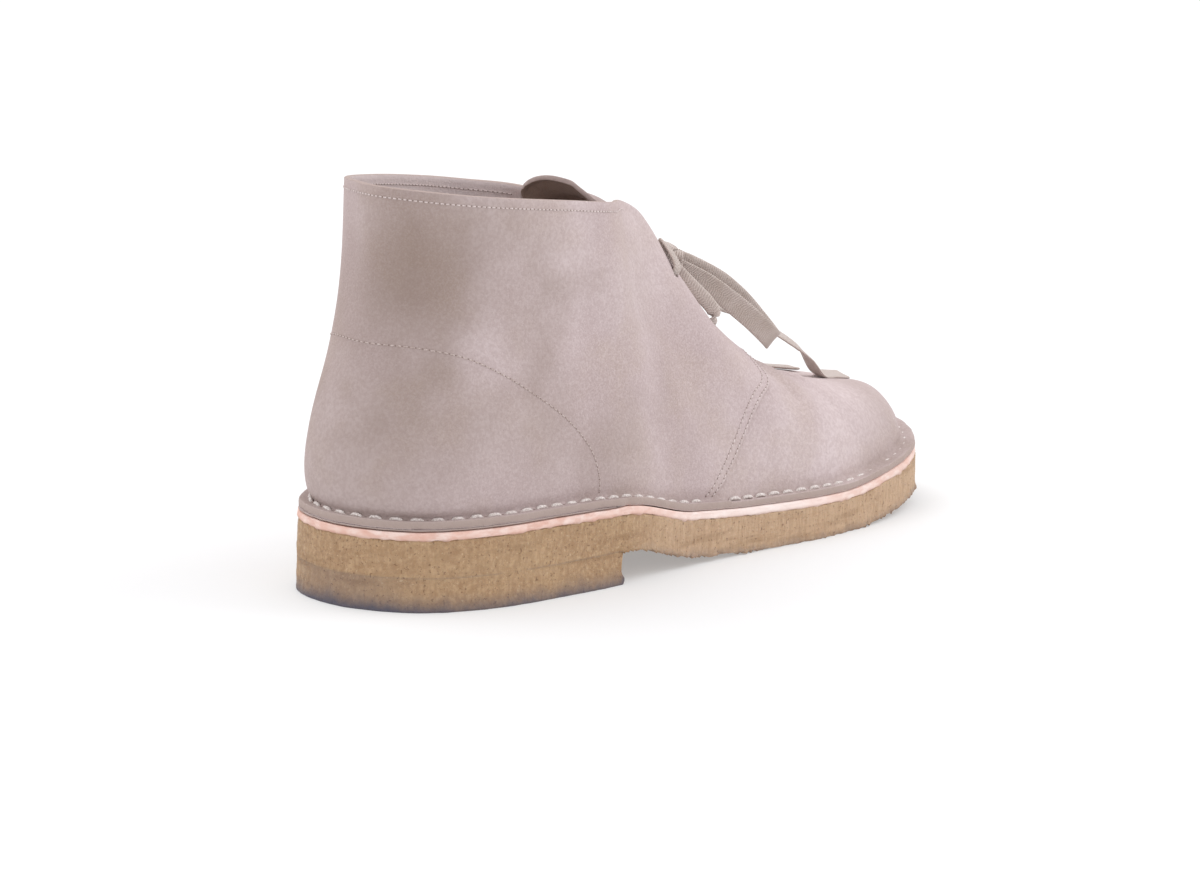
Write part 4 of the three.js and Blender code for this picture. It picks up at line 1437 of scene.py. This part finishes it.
# Routes of the ends; where z is None they lie on the vamp.
ENDS = {
    "lateral": (
        (169.3, -5.6, 90.4), (177, -5.5, 84.3), (190, -5, 77), (205, -4.5, 72), (220, -4.2, 66),
        (235, -4, 58.8), (248, -3.6, 51.6), (258, -3, None), (264, -3, None), (271, -4, None),
    ),
    "medial": (
        (166.2, -1.6, 89.3), (175, 1.5, 84), (187, 5, 75), (201, 8.5, 66.5), (215, 11.5, 58.8),
        (227, 13.5, 51.6), (237, 14.5, None), (246, 14.5, None), (255, 13.5, None), (263, 11.5, None),
    ),
}
# Width's way while an end hangs free, and where it lies down.
END_TILT = {"lateral": (0, 0.83, 0.56), "medial": (0, 0.83, -0.56)}
END_FLAT = {"lateral": (0, 0.96, 0.22), "medial": (0, 1, 0.02)}
KNOT_WIDTHS = (4.5, 6)      # of the lace where the knot gathers it


def vamp_top(x, y):
    """Height of the vamp's face at (x, y)."""
    u = np.linspace(0.62, 1, 200)[:, None] * np.where(y < 0, -1, 1)
    grid = surface(u, np.linspace(0.5, 1, 120)[None, :]).reshape(-1, 3)
    near = grid[np.argsort(np.hypot(grid[:, 0] - x, grid[:, 1] - y))[:4]]
    return near[:, 2].mean()


def add_cord(name, ribbon_made):
    """A strand of the bow as a piece."""
    parts, line = ribbon_made
    piece = add_piece(f"bow_{name}", parts, [COTTON], f"lace_{name}", smooth=60)
    placed(line[0])
    lengths(line)[-1] * MM
    placed(line).tolist()


def bow(tied):
    """The loops and ends; `tied`, the piece that holds them together, is not used."""
    for name, route in LOOPS.items():
        width = [*KNOT_WIDTHS, *[LACE_WIDTH] * (len(route) - 4), *KNOT_WIDTHS[::-1]]
        add_cord(f"loop_{name}", ribbon(route, LOOP_TILT[name], width))
    for name, route in ENDS.items():
        width = [*KNOT_WIDTHS, *[LACE_WIDTH] * (len(route) - 2)]
        tilt = [END_FLAT[name] if z is None else END_TILT[name] for _, _, z in route]
        route = [(x, y, vamp_top(x, y) + LACE_THICK if z is None else z) for x, y, z in route]
        add_cord(f"end_{name}", ribbon(route, tilt, width))


def knot():
    """A band of lace wrapped once round the gathered middle of the bow."""
    turn = np.linspace(0, 2 * np.pi, 14)
    loop = np.stack([4.6 * np.cos(turn), 0.5 * np.sin(2 * turn), 4.4 * np.sin(turn)], axis=1)
    parts, _ = ribbon(KNOT_CENTRE + loop, (0.1, 1, 0.15), 7.6, 1.6)
    for shift, lean in ((-1.4, 0.5), (1.4, -0.5)):
        core = ((-3.5, -5 * lean, shift), (0, 0, shift * 1.2), (4.2, 4 * lean, shift * 0.5))
        parts += ribbon(KNOT_CENTRE + core, (0, 1, 0), 7, 3.4)[0]
    return add_piece("bow_knot", parts, [COTTON], "lace_knot", smooth=60)


def crossings():
    """The lace through the eyelets: a hidden bar between the low ones, two strands that cross to the
    top ones under the facings, and a leg from each top eyelet to the knot."""
    parts = []
    (low_s, low_v), (top_s, top_v) = EYELETS["low"], EYELETS["top"]
    for side in SIDES:
        low, low_out = eyelet("low", side)
        top, top_out = eyelet("top", -side)
        near = arch_point(0.585, 2.2, 0.5 + side * 0.24)
        middle = arch_point(0.572, 2.5 if side == LATERAL else 1.2, 0.5)
        far = arch_point(0.56, -1.8, 0.5 - side * 0.2)
        route = [
            low - low_out * 3.2, low + low_out * 0.6, low + low_out * 2.6 + unit(near - low) * 2.2,
            near, middle, far, top - top_out * 2.8, top - top_out * 0.6,
        ]
        lengthwise = unit(surface(side * (low_s - 0.05), low_v) - low)
        open_way = unit(np.array([0.54, 0.51 * side, 0.66]))
        tilt = [lengthwise, lengthwise, open_way, open_way, *[lengthwise] * 4]
        parts += ribbon(route, tilt, [3.8, 3.9, 4.6, 5.2, 6, 6, 4, 3.4])[0]
        top, top_out = eyelet("top", side)
        over = arch_point(top_s + 0.008, 1.9, 0.5 + side * 0.22)
        stop = KNOT_CENTRE + unit(over - KNOT_CENTRE) * 4.0
        route = [
            top - top_out * 2.5, top + top_out * 0.8, top + top_out * 1.7 + unit(over - top) * 2.2,
            over, (over + stop) / 2 + (0, 0, 0.6), stop,
        ]
        lengthwise = unit(surface(side * (top_s - 0.05), top_v) - top)
        parts += ribbon(route, lengthwise, [3.8, 3.8, 4.8, 5, 5, 4.6])[0]
    lateral, medial = (at - out * 2.6 for at, out in (eyelet("low", side) for side in SIDES))
    bar = [lateral, *[arch_point(0.597, -2.0, share) for share in (0.3, 0.5, 0.7)], medial]
    parts += ribbon(bar, (0.8, 0, -0.6), 6.4)[0]
    add_piece("lacing", parts, [COTTON], "lace_crossings", smooth=60, weld=0)


bow(knot())
crossings()
quarters()
vamp()
tongue()
heel_layer()
collar_stitches()
counter_stitches()
seam_stitches()
welt_stitches()
outsole()
heel()
midsole()
insole()


# ---- studio ----
FLOOR_SIZE = 40       # metres
FLOOR_GLOW = 0.3      # of a floor that is lit through from below
SKY_STRENGTH = 1.08
AIM = Vector((0, 0, 0.06))      # of the lights, in metres


def add_floor():
    bpy.ops.mesh.primitive_plane_add(size=FLOOR_SIZE)
    floor = bpy.context.object
    floor.name = "floor"
    made = Finish("floor", 0.9, Specular_IOR_Level=0.1, Emission_Strength=FLOOR_GLOW)
    made.shader.inputs["Emission Color"].default_value = linear("ffffff")
    made.colour(made.mix(made.noise(400), "c6c6c6", "c8c8c8"))
    floor.data.materials.append(made.material)


def add_light(name, location, size, power):
    data = bpy.data.lights.new(name, "AREA")
    data.size = size
    data.energy = power
    light = bpy.data.objects.new(name, data)
    light.location = location
    light.rotation_euler = (AIM - light.location).to_track_quat("-Z", "Y").to_euler()
    bpy.context.scene.collection.objects.link(light)


def add_world():
    world = bpy.data.worlds.new("studio")
    world.use_nodes = True
    world.node_tree.nodes["Background"].inputs["Color"].default_value = linear("fdfdff")
    world.node_tree.nodes["Background"].inputs["Strength"].default_value = SKY_STRENGTH
    bpy.context.scene.world = world
    bpy.context.scene.view_settings.view_transform = "Standard"


add_floor()
add_light("key", (1.1, -0.9, 1.5), 1.1, 9.5)
add_light("top", (-0.15, 0.95, 1.7), 1.5, 10)
add_world()
